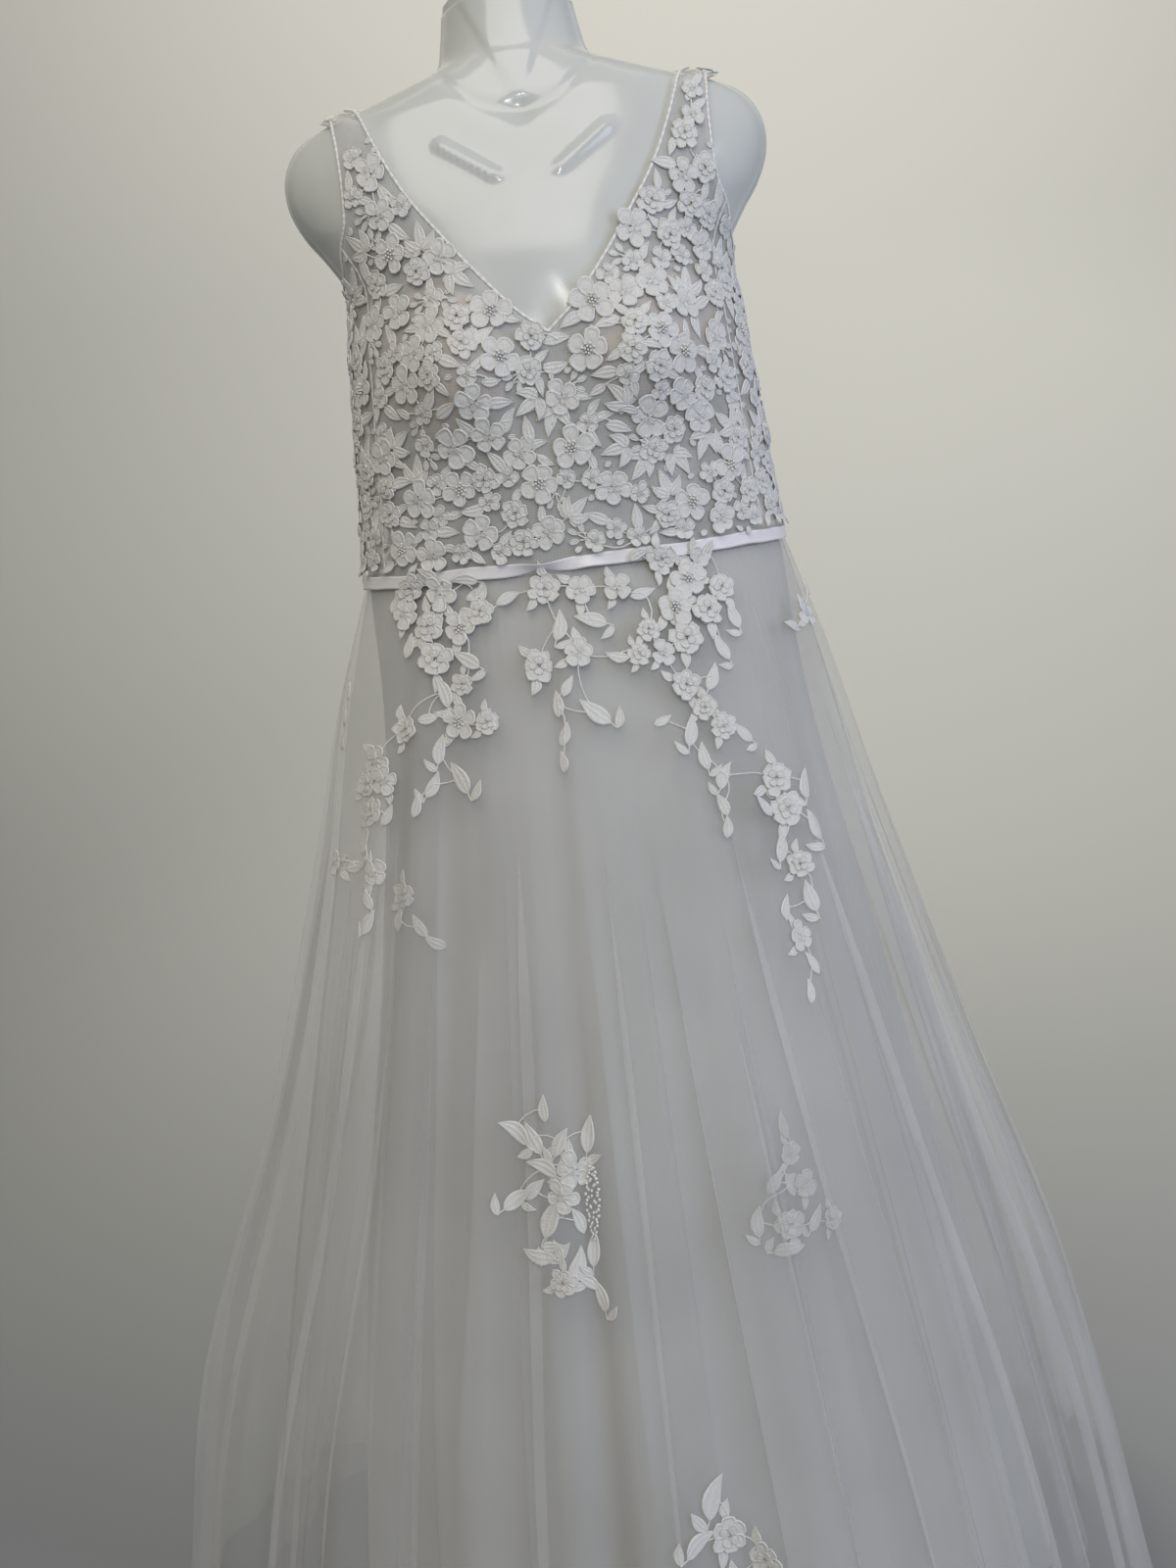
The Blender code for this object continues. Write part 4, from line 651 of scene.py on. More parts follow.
class Skirt:
    """One layer of the skirt, given by an angle round the body and a height."""

    def __init__(self, rows, folds, phase, creases):
        self.rows = np.array(rows)[::-1]
        self.slopes = np.gradient(self.rows, self.rows[:, 0], axis=0)
        crest = np.arange(folds)
        centre = (crest + 0.26 * np.sin(2.1 * crest + phase) + 0.16 * np.sin(5.3 * crest)) * math.tau / folds
        depth = 0.72 + 0.28 * np.sin(1.7 * crest + 2.0 * phase)
        self.crests = np.append(centre, centre[0] + math.tau) - math.pi
        self.depths = np.append(depth, depth[0])
        shares = np.linspace(0.0, 0.75, 4)
        gaps = np.diff(self.crests)
        self.columns = (self.crests[:-1, None] + gaps[:, None] * shares).ravel()
        self.creases = creases

    def wave(self, angle):
        """1 on a fold's crest and about -1 between two, uneven from fold to fold."""
        first = self.crests[0]
        turned = (angle - first) % math.tau + first
        i = np.clip(np.searchsorted(self.crests, turned, side="right") - 1, 0, len(self.crests) - 2)
        share = (turned - self.crests[i]) / (self.crests[i + 1] - self.crests[i])
        rise = (1 + np.cos(math.tau * share)) / 2
        crest = np.where(share < 0.5, self.depths[i], self.depths[i + 1])
        valley = (self.depths[i] + self.depths[i + 1]) / 2
        return crest * rise - valley * (1 - rise)

    def creased(self, angle, height, radius):
        """How far the creases move the cloth outwards and sideways."""
        out, along = np.zeros(angle.shape), np.zeros(angle.shape)
        for place, top, bottom, wide, deep, pull, lean in self.creases:
            width, depth = wide / 1000, deep / 1000
            down = (top - height) / (top - bottom)
            centre = math.radians(place) + math.radians(lean) * down
            off = ((angle - centre + math.pi) % math.tau - math.pi) * radius / (width * (0.6 + 0.6 * down))
            near = (np.abs(off) < 3.0) & (down > 0.0) & (down < 1.0 if bottom > 0.0 else True)
            strength = smooth_step(down[near] / 0.30)
            if bottom > 0.0:
                strength = strength * smooth_step((1.0 - down[near]) / 0.25)
            bell = np.exp(-off[near] ** 2) * strength
            out[near] += depth * bell
            along[near] -= pull * width * off[near] * bell
        return out, along

    def points(self, angle, height, folded=True):
        """The layer's cloth, or without folding over, the smooth top of it that lace lies on."""
        angle, height = np.broadcast_arrays(np.asarray(angle, dtype=float), np.asarray(height, dtype=float))
        row = hermite(self.rows[:, 0], self.rows, self.slopes, height)
        _, left, right, front, back, fold = np.moveaxis(row, -1, 0)
        half = np.where(np.sin(angle) > 0, right, left)
        depth = np.where(np.cos(angle) > 0, front, back)
        drop = 1.0 - height / WAIST
        swell = sum(share * np.sin(count * angle + phase) for count, share, phase in FLARE_WAVES)
        out = np.stack((np.sin(angle) / half, -np.cos(angle) / depth), axis=-1)
        out /= np.linalg.norm(out, axis=-1, keepdims=True)
        side = np.stack((-out[..., 1], out[..., 0]), axis=-1)
        push = fold * self.wave(angle) + FLARE * swell * drop
        push += drop * sum(size * np.sin(count * angle + phase) for count, size, phase in RIPPLES)
        gathered = np.exp(-(WAIST - height) / 0.045) * smooth_step((SKIRT_TOP - height) / 0.006)
        push += gathered * sum(size * np.sin(count * angle + phase) for count, size, phase in GATHERS)
        radius = np.hypot(half * np.cos(angle), depth * np.sin(angle))
        raised, shift = self.creased(angle, height, radius)
        push += raised
        slid = shift * folded
        x = half * np.sin(angle) + out[..., 0] * push + side[..., 0] * slid
        y = -depth * np.cos(angle) + out[..., 1] * push + side[..., 1] * slid
        return np.stack((x, y, height), axis=-1)

    def seam_angle(self, degrees):
        """The column nearest to an angle, where the solids have their seam."""
        return float(self.columns[np.argmin(np.abs(self.columns - math.radians(degrees)))])

    def angle_at(self, x, height):
        """The angle of a front point from its sideways place and height."""
        half = np.interp(height, self.rows[:, 0], self.rows[:, 2 if x > 0 else 1])
        return math.asin(max(-1.0, min(1.0, x / half)))


outer_layer = Skirt(OUTER_ROWS, OUTER_FOLDS, 0.4, OUTER_CREASES)
middle_layer = Skirt(MIDDLE_ROWS, MIDDLE_FOLDS, 1.1, MIDDLE_CREASES)
lining_layer = Skirt(LINING_ROWS, LINING_FOLDS, 2.3, LINING_CREASES)


# The surface that the lace lies on: the bodice above the waist and a skirt layer below it

def bare_dress(layer):
    """The cloth's surface by angle and length up the side, the same above and below the waist."""

    def surface(theta, v):
        theta, v = np.broadcast_arrays(np.asarray(theta, dtype=float), np.asarray(v, dtype=float))
        above = v >= V_WAIST
        found = np.empty((*theta.shape, 3))
        found[above] = torso_points(theta[above], v[above], 1.0, NET_LIFT + drag_lift(theta[above], v[above]))
        below = ~above
        height = np.clip(WAIST - (V_WAIST - v[below]), 0.0, SKIRT_TOP)
        found[below] = layer.points(theta[below], height, folded=False)
        return found

    return surface


def over_ribbon(v):
    """How much higher the lace runs where it crosses the ribbon."""
    middle = v_at_height((RIBBON_LOW + RIBBON_HIGH) / 2)
    return 0.0030 * smooth_step((0.016 - np.abs(v - middle)) / 0.009)


def grain(surface, theta, v):
    """Metres for a unit of angle, metres square to that for a unit of length, and the skew of the two."""
    across = (surface(theta + 0.01, v) - surface(theta - 0.01, v)) / 0.02
    up = (surface(theta, v + 0.003) - surface(theta, v - 0.003)) / 0.006
    wide = np.linalg.norm(across, axis=-1)
    skew = np.sum(up * across, axis=-1) / wide
    square = np.sqrt(np.maximum(np.sum(up * up, axis=-1) - skew**2, 0.06))
    return wide, square, skew


class Lace:
    """Motifs, stems and beads laid on a surface and gathered into one mesh."""

    def __init__(self, surface, crosses_ribbon=True):
        self.surface = surface
        self.crosses_ribbon = crosses_ribbon
        self.places, self.owners, self.local = [], [], []
        self.faces, self.cords, self.threads = [], [], []
        self.count = 0
        self.level = 0

    def start(self, theta, v):
        """Begins a motif at a place, a little higher than the last, so that they overlap."""
        self.places.append((theta, v))
        self.level = (self.level + 5) % 7
        return len(self.places) - 1, 0.0003 + 0.00022 * self.level

    def add(self, owner, local, faces, cord, thread):
        self.owners.append(np.full(len(local), owner))
        self.local.append(local)
        self.faces.append(np.asarray(faces) + self.count)
        self.cords.append(cord)
        self.threads.append(thread)
        self.count += len(local)

    def build(self, name, material, slot):
        places = np.array(self.places)
        theta, v = places[:, 0], places[:, 1]
        owner = np.concatenate(self.owners)
        local = np.concatenate(self.local)
        across, up, skew = (a[owner] for a in grain(self.surface, theta, v))
        for share in (0.5, 1.0):
            rise = share * local[:, 1] / up
            at_v = v[owner] + rise
            at_theta = theta[owner] + (share * local[:, 0] - rise * skew) / across
            if share < 1.0:
                across, up, skew = grain(self.surface, at_theta, at_v)
        lift = local[:, 2] + 0.0010 * smooth_step((V_WAIST - at_v - 0.004) / 0.004)
        if self.crosses_ribbon:
            lift = lift + over_ribbon(at_v)
        normal = outward(self.surface, at_theta, at_v, 0.010, 0.003)
        points = self.surface(at_theta, at_v) + normal * lift[:, None]
        return add_piece(name, points, np.concatenate(self.faces), material,
                         np.concatenate(self.threads), np.concatenate(self.cords))


RING_SHARES = (0.45, 0.78, 0.91, 1.0)     # rings of a petal, from its middle to its edge
RING_LIFTS = (0.62, 0.30, 1.00, 0.05)     # shares of the cord's height on those rings
RING_CORDS = (0.40, 0.10, 1.00, 0.75)     # how much of each ring is cord


def petal_shape(length, width, steps, ruffle, phase):
    """A rounded petal that points along +X from a flower's centre: points, faces, cord shares."""
    turn = round_angles(steps)
    edge = 1.0 + ruffle * np.sin(4 * turn + phase)
    x = 0.44 * length * np.cos(turn) * edge
    y = 0.5 * width * np.sin(turn) * (1.0 + 0.28 * np.cos(turn)) * edge
    points, cords = [(0.56 * length, 0.0, 0.75)], [0.45]
    for share, lift, cord in zip(RING_SHARES, RING_LIFTS, RING_CORDS):
        points += [(0.56 * length + share * a, share * b, lift) for a, b in zip(x, y)]
        cords += [cord] * steps
    faces = []
    for i in range(steps):
        k = (i + 1) % steps
        faces.append((0, 1 + i, 1 + k))
        for ring in range(len(RING_SHARES) - 1):
            low, high = 1 + ring * steps, 1 + (ring + 1) * steps
            faces.append((low + i, high + i, high + k))
            faces.append((low + i, high + k, low + k))
    return np.array(points), np.array(faces), np.array(cords)


LEAF_ACROSS = (-1.0, -0.84, -0.58, -0.14, 0.0, 0.14, 0.58, 0.84, 1.0)
LEAF_LIFTS = (0.05, 1.0, 0.34, 0.42, 0.85, 0.42, 0.34, 1.0, 0.05)
LEAF_CORDS = (0.75, 1.0, 0.12, 0.35, 0.85, 0.35, 0.12, 1.0, 0.75)


def leaf_shape(length, width, bend, blunt, stations=9):
    """A leaf or bud along +X from its base, bent sideways, with a corded edge and midrib."""
    along = np.linspace(0.0, 1.0, stations)
    if blunt:
        half = width / 2 * np.sin(math.pi * along**1.15) ** 0.55
    else:
        half = width / 2 * 1.12 * np.sin(math.pi * along**0.72) ** 0.92
    half = np.maximum(half, 0.0003)
    points, cords = [], []
    for s, h in zip(along, half):
        taper = min(1.0, 6.0 * min(s + 0.06, 1.06 - s))
        for t, lift, cord in zip(LEAF_ACROSS, LEAF_LIFTS, LEAF_CORDS):
            points.append((s * length, bend * length * 4 * s * (1 - s) + t * h, lift * taper))
            cords.append(cord)
    return np.array(points), grid_faces(stations, len(LEAF_ACROSS))[:, ::-1], np.array(cords)


def turned(points, degrees):
    angle = math.radians(degrees)
    cos, sin = math.cos(angle), math.sin(angle)
    moved = points.copy()
    moved[:, 0] = points[:, 0] * cos - points[:, 1] * sin
    moved[:, 1] = points[:, 0] * sin + points[:, 1] * cos
    return moved


CORD_HEIGHT = 0.0012     # how far a corded edge stands off the net
STEM_SHORTEST, STEM_LONGEST = 0.012, 0.062     # gaps between skirt motifs that get a stem
PANEL_STEM_LONGEST = 0.040
STEM_RADIUS, STEM_SIDES = 0.00065, 5


def as_triangles(faces):
    """Quads cut in two, so that every motif's faces are triangles."""
    return np.concatenate((faces[:, [0, 1, 2]], faces[:, [0, 2, 3]]))


def sew_petal(lace, owner, level, length, width, degrees, tilt, steps=14, ruffle=0.05):
    points, faces, cord = petal_shape(length, width, steps, ruffle * rng.uniform(0.5, 1.2), rng.uniform(0, 6))
    thread = np.stack((np.arctan2(points[:, 1], points[:, 0] + 0.15 * length) * length, points[:, 0]), axis=1)
    points[:, 2] = points[:, 2] * CORD_HEIGHT + level + tilt * points[:, 0]
    lace.add(owner, turned(points, degrees), faces, cord, thread)


def sew_leaf(lace, owner, level, start, length, width, degrees, bend=0.0, blunt=False):
    points, quads, cord = leaf_shape(length, width, bend, blunt)
    thread = np.stack((points[:, 0] + 0.6 * np.abs(points[:, 1]), points[:, 1]), axis=1)
    points[:, 2] = points[:, 2] * CORD_HEIGHT + level
    points = turned(points, degrees)
    points[:, 0] += start[0]
    points[:, 1] += start[1]
    lace.add(owner, points, as_triangles(quads), cord, thread)


def sew_stem(lace, owner, level, path):
    """A corded stem along a path in the motif's own metres."""
    path = np.asarray(path)
    ahead = directions(path)
    side = np.stack((-ahead[:, 1], ahead[:, 0]), axis=1)
    turn = round_angles(STEM_SIDES) + math.pi / 2
    points = []
    for middle, s in zip(path, side):
        for a in turn:
            off, rise = STEM_RADIUS * math.cos(a), STEM_RADIUS * (1 + math.sin(a))
            points.append((middle[0] + s[0] * off, middle[1] + s[1] * off, level + rise))
    quads = grid_faces(len(path), STEM_SIDES, closed=True)
    thread = np.array([(p[0] * 0.7 + p[1] * 0.7, 0.0) for p in points])
    lace.add(owner, np.array(points), as_triangles(quads), np.full(len(points), 0.9), thread)


def curved_path(start, end, bow, count=7):
    """A path from start to end that bows to one side."""
    start, end = np.asarray(start, dtype=float), np.asarray(end, dtype=float)
    t = np.linspace(0.0, 1.0, count)[:, None]
    across = np.array((-(end - start)[1], (end - start)[0]))
    return start + (end - start) * t + across * bow * 4 * t * (1 - t)


def bead_shape():
    """A small round bead with twenty faces, shaded smooth."""
    golden = (1 + math.sqrt(5)) / 2
    points = []
    for a in (-1, 1):
        for b in (-golden, golden):
            points += [(0, a, b), (a, b, 0), (b, 0, a)]
    points = np.array(points, dtype=float)
    points /= np.linalg.norm(points[0])
    faces = []
    for i in range(12):
        for j in range(i + 1, 12):
            for k in range(j + 1, 12):
                sides = [np.linalg.norm(points[p] - points[q]) for p, q in ((i, j), (j, k), (i, k))]
                if max(sides) < 1.2:
                    normal = np.cross(points[j] - points[i], points[k] - points[i])
                    out = np.dot(normal, points[i]) > 0
                    faces.append((i, j, k) if out else (i, k, j))
    return points, np.array(faces)


BEAD_POINTS, BEAD_FACES = bead_shape()


def sew_beads(beads, theta, v, places, radius, lift):
    owner, _ = beads.start(theta, v)
    for x, y in places:
        points = BEAD_POINTS * radius + np.array((x, y, lift + 0.6 * radius))
        beads.add(owner, points, BEAD_FACES, np.ones(12), points[:, :2])


def round_places(turn, inner=6, outer=5):
    """Where the beads of a flower's centre lie."""
    places = [(0.0, 0.0)]
    for radius, angles in ((0.0028, round_angles(inner)), (0.0053, np.arange(outer) * math.tau / 8)):
        places += [(radius * math.cos(a), radius * math.sin(a)) for a in angles + turn]
    return places


def sew_flower(lace, beads, theta, v, size, turn, beaded=False, petals=5):
    """Broad petals, set apart at their tips, round a centre of beads or a thread knot."""
    owner, level = lace.start(theta, v)
    for petal in range(petals):
        length = size * rng.uniform(0.82, 1.10)
        width = size * rng.uniform(0.92, 1.08) * 3.9 / petals
        degrees = turn + petal * 360.0 / petals + rng.uniform(-9, 9)
        sew_petal(lace, owner, level + 0.00035 * (petal % 2), length, width, degrees, 0.05)
    if beaded:
        sew_beads(beads, theta, v, round_places(turn), 0.00125, level + 0.0014)
    else:
        for twist in range(3):
            degrees = turn + 40 + twist * 120
            sew_leaf(lace, owner, level + 0.0008, (0.0, 0.0), size * 0.42, size * 0.20, degrees)


def sew_ruffle(lace, theta, v, size, turn):
    """A full blossom: wavy outer petals and smaller ones that stand inside them."""
    owner, level = lace.start(theta, v)
    for petal in range(6):
        length, width = size * rng.uniform(0.80, 1.08), size * rng.uniform(0.66, 0.84)
        degrees = turn + petal * 60.0
        sew_petal(lace, owner, level + 0.0004 * (petal % 2), length, width, degrees, 0.06, 10, 0.12)
    for petal in range(4):
        length, width = size * rng.uniform(0.46, 0.60), size * rng.uniform(0.42, 0.52)
        degrees = turn + 25 + petal * 90.0 + rng.uniform(-12, 12)
        sew_petal(lace, owner, level + 0.0011, length, width, degrees, 0.10, 9, 0.10)


def sew_sprig(lace, theta, v, size, turn):
    """One leaf. Returns its motif, level and base, for what grows from there."""
    owner, level = lace.start(theta, v)
    angle = math.radians(turn)
    base = (-size * math.cos(angle), -size * math.sin(angle))
    sew_leaf(lace, owner, level, base, size * 2.0, size * 0.78, turn, rng.uniform(-0.10, 0.10))
    return owner, level, base


def sew_spray(lace, theta, v, size, turn):
    """Three pointed leaves and two buds that spread from one point."""
    owner, level, base = sew_sprig(lace, theta, v, size * 0.92, turn)
    for side in (-1, 1):
        spread = side * rng.uniform(38, 56)
        sew_leaf(lace, owner, level + 0.0003, base, size * 1.45, size * 0.66, turn + spread, side * 0.12)
        sew_leaf(lace, owner, level, base, size * 0.75, size * 0.36, turn + side * 100, 0.0, True)


def sew_buds(lace, theta, v, size, turn, count=3):
    """A fan of teardrop buds on short stems."""
    owner, level = lace.start(theta, v)
    angle = math.radians(turn)
    base = np.array((-size * math.cos(angle), -size * math.sin(angle)))
    for i in range(count):
        degrees = turn + (i - (count - 1) / 2) * 38.0 + rng.uniform(-5, 5)
        reach = size * (0.55 + 0.25 * (i % 2))
        tip = base + reach * np.array((math.cos(math.radians(degrees)), math.sin(math.radians(degrees))))
        sew_stem(lace, owner, level, curved_path(base, tip, 0.10 * (i - 1), 5))
        sew_leaf(lace, owner, level, tip, size * 1.05, size * 0.55, degrees, 0.0, True)


def link(lace, start, end, bow):
    """A stem from one motif's place to another's, in the first one's own metres."""
    owner, _ = lace.start(*start)
    middle = (np.array([(start[0] + end[0]) / 2]), np.array([(start[1] + end[1]) / 2]))
    across, up, skew = (float(a[0]) for a in grain(lace.surface, *middle))
    rise = end[1] - start[1]
    away = ((end[0] - start[0]) * across + rise * skew, rise * up)
    count = max(5, int(np.hypot(*away) / 0.006))
    sew_stem(lace, owner, 0.0002, curved_path((0.0, 0.0), away, bow, count))


# Laying out the lace

def inside_outline(points, outline):
    """Which points lie inside a closed outline."""
    x, y = points[:, 0], points[:, 1]
    hit = np.zeros(len(points), dtype=bool)
    for (x0, y0), (x1, y1) in zip(outline, np.roll(outline, -1, axis=0)):
        if y0 == y1:
            continue
        crosses = (y0 > y) != (y1 > y)
        hit ^= crosses & (x < (x1 - x0) * (y - y0) / (y1 - y0) + x0)
    return hit


def dense(outline, longest):
    """The closed outline with points added so that no stretch is longer than given."""
    found = []
    for start, end in zip(outline, np.roll(outline, -1, axis=0)):
        pieces = max(1, math.ceil(np.linalg.norm(end - start) / longest - 1e-6))
        found += [start + (end - start) * i / pieces for i in range(pieces)]
    return np.array(found)


def scatter(surface, outline, taken, kinds, tries, lowest):
    """Fills a panel's spaces with the given kinds. Returns their angle, length, radius and kind."""
    low, high = outline.min(axis=0), outline.max(axis=0)
    spots = rng.uniform(low, high, (tries, 2))
    spots = spots[inside_outline(spots, outline) & (spots[:, 1] > lowest)]
    at = surface(spots[:, 0] / ARC, spots[:, 1])
    edge_line = dense(outline, 0.004)
    edge = surface(edge_line[:, 0] / ARC, edge_line[:, 1])
    to_edge = np.array([np.linalg.norm(edge - p, axis=1).min() for p in at])
    centres, radii = [], [t[2] for t in taken]
    if taken:
        centres = list(surface(np.array([t[0] for t in taken]), np.array([t[1] for t in taken])))
    found = []
    x, y = outline.T
    area = abs(np.sum(x * np.roll(y, -1) - y * np.roll(x, -1))) / 2
    for kind, radius, closeness, edge_share, most in kinds:
        done = len(found)
        for spot, point, room in zip(spots, at, to_edge):
            if len(found) - done >= most * area:
                break
            if room < radius * edge_share or spot[1] - radius * 0.8 < lowest:
                continue
            if centres:
                apart = np.linalg.norm(np.array(centres) - point, axis=1)
                if np.any(apart < (np.array(radii) + radius) * closeness):
                    continue
            centres.append(point)
            radii.append(radius)
            found.append((spot[0] / ARC, spot[1], radius, kind))
    return found


def nearest(place, others):
    """The nearest of the other places, and the direction from it in degrees."""
    away = np.array([((place[0] - o[0]) * NEAR_ARC, place[1] - o[1]) for o in others])
    i = int(np.argmin(np.hypot(away[:, 0], away[:, 1])))
    return others[i], math.degrees(math.atan2(away[i, 1], away[i, 0])), float(np.hypot(*away[i]))


def build_lace(name, lace, beads):
    """The mesh of the lace and, where there are any, the mesh of its beads."""
    pieces = [lace.build(f"{name}_lace", embroidery, "lace")]
    if beads.places:
        pieces.append(beads.build(f"{name}_beads", bead_glass, "lace"))
    return pieces


# What fills a panel: kind, radius, how close to the next, how far from the edge, both as a share
# of the radius, and the most of them to a square metre
FILLING = (
    ("flower", 0.0150, 0.82, 0.78, 130), ("ruffle", 0.0130, 0.80, 0.80, 300),
    ("spray", 0.0130, 0.78, 0.75, 170), ("blossom", 0.0095, 0.80, 0.85, 420),
    ("leaf", 0.0110, 0.74, 0.75, 320), ("buds", 0.0095, 0.76, 0.80, 500),
    ("leaf", 0.0080, 0.72, 0.80, 1500), ("small", 0.0045, 0.82, 0.95, 2500),
)


def sew_panel_lace(name, outline, placed, tries, mask=None):
    """All the lace of one bodice panel: its placed flowers, then what fills between them."""
    lace = Lace(dress)
    beads = Lace(dress)
    lowest = v_at_height(RIBBON_HIGH) + 0.001
    flowers = []
    for angle, height, length, turn, beaded in placed:
        size = length / 1000
        place = (math.radians(angle), v_at_height(height / 1000))
        sew_flower(lace, beads, *place, size, turn, beaded)
        flowers.append((*place, size))
    found = scatter(dress, outline, flowers, FILLING, tries, lowest)
    if mask is not None:
        found = [m for m in found if mask(m)]
    anchors = [f[:2] for f in flowers]
    for theta, v, radius, kind in found:
        turn = rng.uniform(0, 360)
        if anchors and kind not in ("flower", "ruffle", "blossom"):
            _, turn, _ = nearest((theta, v), anchors)
            turn += rng.uniform(-28, 28)
        if anchors and kind != "small":
            near, _, away = nearest((theta, v), anchors)
            if away < PANEL_STEM_LONGEST:
                link(lace, near, (theta, v), rng.uniform(-0.22, 0.22))
        if kind == "flower":
            sew_flower(lace, beads, theta, v, radius * 1.06, turn, rng.uniform() < 0.25)
            anchors.append((theta, v))
        elif kind == "ruffle":
            sew_ruffle(lace, theta, v, radius * 1.04, turn)
            anchors.append((theta, v))
        elif kind == "blossom":
            sew_flower(lace, beads, theta, v, radius * 1.06, turn, False, 4 + int(rng.integers(2)))
            anchors.append((theta, v))
        elif kind == "spray":
            sew_spray(lace, theta, v, radius, turn)
        elif kind == "buds":
            sew_buds(lace, theta, v, radius, turn)
        elif kind == "leaf":
            sew_sprig(lace, theta, v, radius * 1.08, turn)
        else:
            owner, level = lace.start(theta, v)
            sew_leaf(lace, owner, level, (0.0, 0.0), radius * 1.6, radius * 1.1, turn, 0.0, True)
    return build_lace(name, lace, beads)


def clear_of_ridge(motif, facing):
    """Whether a motif keeps off the strap's narrow top, where it would stand up like a fin."""
    theta, v, radius, _ = motif
    if v < V_STRAP:
        return True
    return (math.pi / 2 - abs(theta)) * facing * 0.075 > 1.1 * radius and radius < 0.0120


def place_on(layer, x, height):
    return layer.angle_at(x, height), V_WAIST - (WAIST - height)


def placed_on(layer, table):
    """A table's motifs in metres, at their angle and length on a layer."""
    return [
        (*place_on(layer, x / 1000, z / 1000), size / 1000, turn, kind)
        for x, z, size, turn, kind in table
    ]


def sew_skirt_lace(name, surface, motifs):
    """Skirt motifs given as angle, length, size, turn and kind, with stems and small leaves."""
    lace = Lace(surface)
    beads = Lace(surface)
    done = []
    for number, (theta, v, size, turn, kind) in enumerate(motifs):
        if done:
            gaps = [math.hypot((theta - o[0]) * SKIRT_NEAR_ARC, v - o[1]) for o in done]
            i = int(np.argmin(gaps))
            if STEM_SHORTEST < gaps[i] < STEM_LONGEST:
                link(lace, done[i][:2], (theta, v), rng.uniform(-0.18, 0.18))
        if kind == "flower":
            if number % 2:
                sew_flower(lace, beads, theta, v, size, turn, size > 0.0165, 5 if size > 0.0135 else 4)
            else:
                sew_ruffle(lace, theta, v, size * 0.95, turn)
            owner, _ = lace.start(theta, v)
            for away in (turn + 70, turn + 200):
                angle = math.radians(away)
                base = (0.7 * size * math.cos(angle), 0.7 * size * math.sin(angle))
                away += rng.uniform(-35, 35)
                sew_leaf(lace, owner, 0.0003, base, size * 0.95, size * 0.46, away, 0.1)
        else:
            owner, level, base = sew_sprig(lace, theta, v, size, turn)
            if size > 0.0125:
                side = 1 if number % 2 else -1
                joint = (base[0] * 1.42, base[1] * 1.42)
                sew_stem(lace, owner, level, curved_path(joint, base, 0.06, 4))
                sew_leaf(lace, owner, level, joint, size * 1.15, size * 0.46, turn + side * 58, side * 0.06)
        done.append((theta, v))
    build_lace(name, lace, beads)


# The bodice

def degrees_arc(degrees):
    return math.radians(degrees) * ARC


def seam_line(place, top):
    lengths = np.linspace(V_WAIST, v_at_height(top), 16)[1:]
    return np.stack((np.full(15, place), lengths), axis=1)


def laid_out(edge, count, back=False):
    """A bodice edge of half widths and heights as a smooth line in the panels' layout."""
    line = smooth_line(edge, count)
    theta, v = dress_place(line[:, 0], line[:, 1])
    if back:
        theta = math.pi - theta
    return np.stack((theta * ARC, v), axis=1)


def front_outline():
    seam, ridge = degrees_arc(SIDE_FRONT) - SEAM, degrees_arc(90.0) - SEAM
    waist = np.stack((np.linspace(-seam, seam, 31), np.full(31, V_WAIST)), axis=1)
    arm = np.array([(seam, v_at_height(ARM_FRONT_TOP))])
    arm_line = np.concatenate((arm, laid_out(ARM_EDGE, 14), [(ridge, v_at_width(STRAP_OUT))]))
    neck_line = np.concatenate(([(ridge, v_at_width(STRAP_IN))], laid_out(NECK_EDGE, 22)[::-1]))
    right = np.concatenate((seam_line(seam, ARM_FRONT_TOP)[:-1], arm_line, neck_line))
    left = right[::-1] * np.array((-1.0, 1.0))
    point = np.array([(0.0, v_at_height(NECK_POINT))])
    return np.concatenate((waist, right, point, left)), arm_line, np.concatenate((neck_line, point))


def side_outline():
    low, high = degrees_arc(SIDE_FRONT) + SEAM, degrees_arc(SIDE_BACK) - SEAM
    waist = np.stack((np.linspace(low, high, 14), np.full(14, V_WAIST)), axis=1)
    arm = [(high, v_at_height(ARM_BACK_TOP))]
    arm += [(degrees_arc(a), v_at_height(z)) for a, z in reversed(UNDERARM)]
    arm += [(low, v_at_height(ARM_FRONT_TOP))]
    arm = smooth_line(arm, 16)
    up, down = seam_line(high, ARM_BACK_TOP)[:-1], seam_line(low, ARM_FRONT_TOP)[:-1][::-1]
    return np.concatenate((waist, up, arm, down)), arm


def back_outline():
    low, high = degrees_arc(SIDE_BACK) + SEAM, math.pi * ARC - SEAM
    ridge = degrees_arc(90.0) + SEAM
    waist = np.stack((np.linspace(low, high, 18), np.full(18, V_WAIST)), axis=1)
    neck = np.concatenate((
        [(high, v_at_height(BACK_NECK))], laid_out(BACK_EDGE, 20, True),
        [(ridge, v_at_width(STRAP_IN))],
    ))
    arm = np.concatenate((
        [(ridge, v_at_width(STRAP_OUT))], laid_out(BACK_ARM, 12, True)[::-1],
        [(low, v_at_height(ARM_BACK_TOP))],
    ))
    return np.concatenate((waist, neck, arm, seam_line(low, ARM_BACK_TOP)[:-1][::-1])), neck, arm


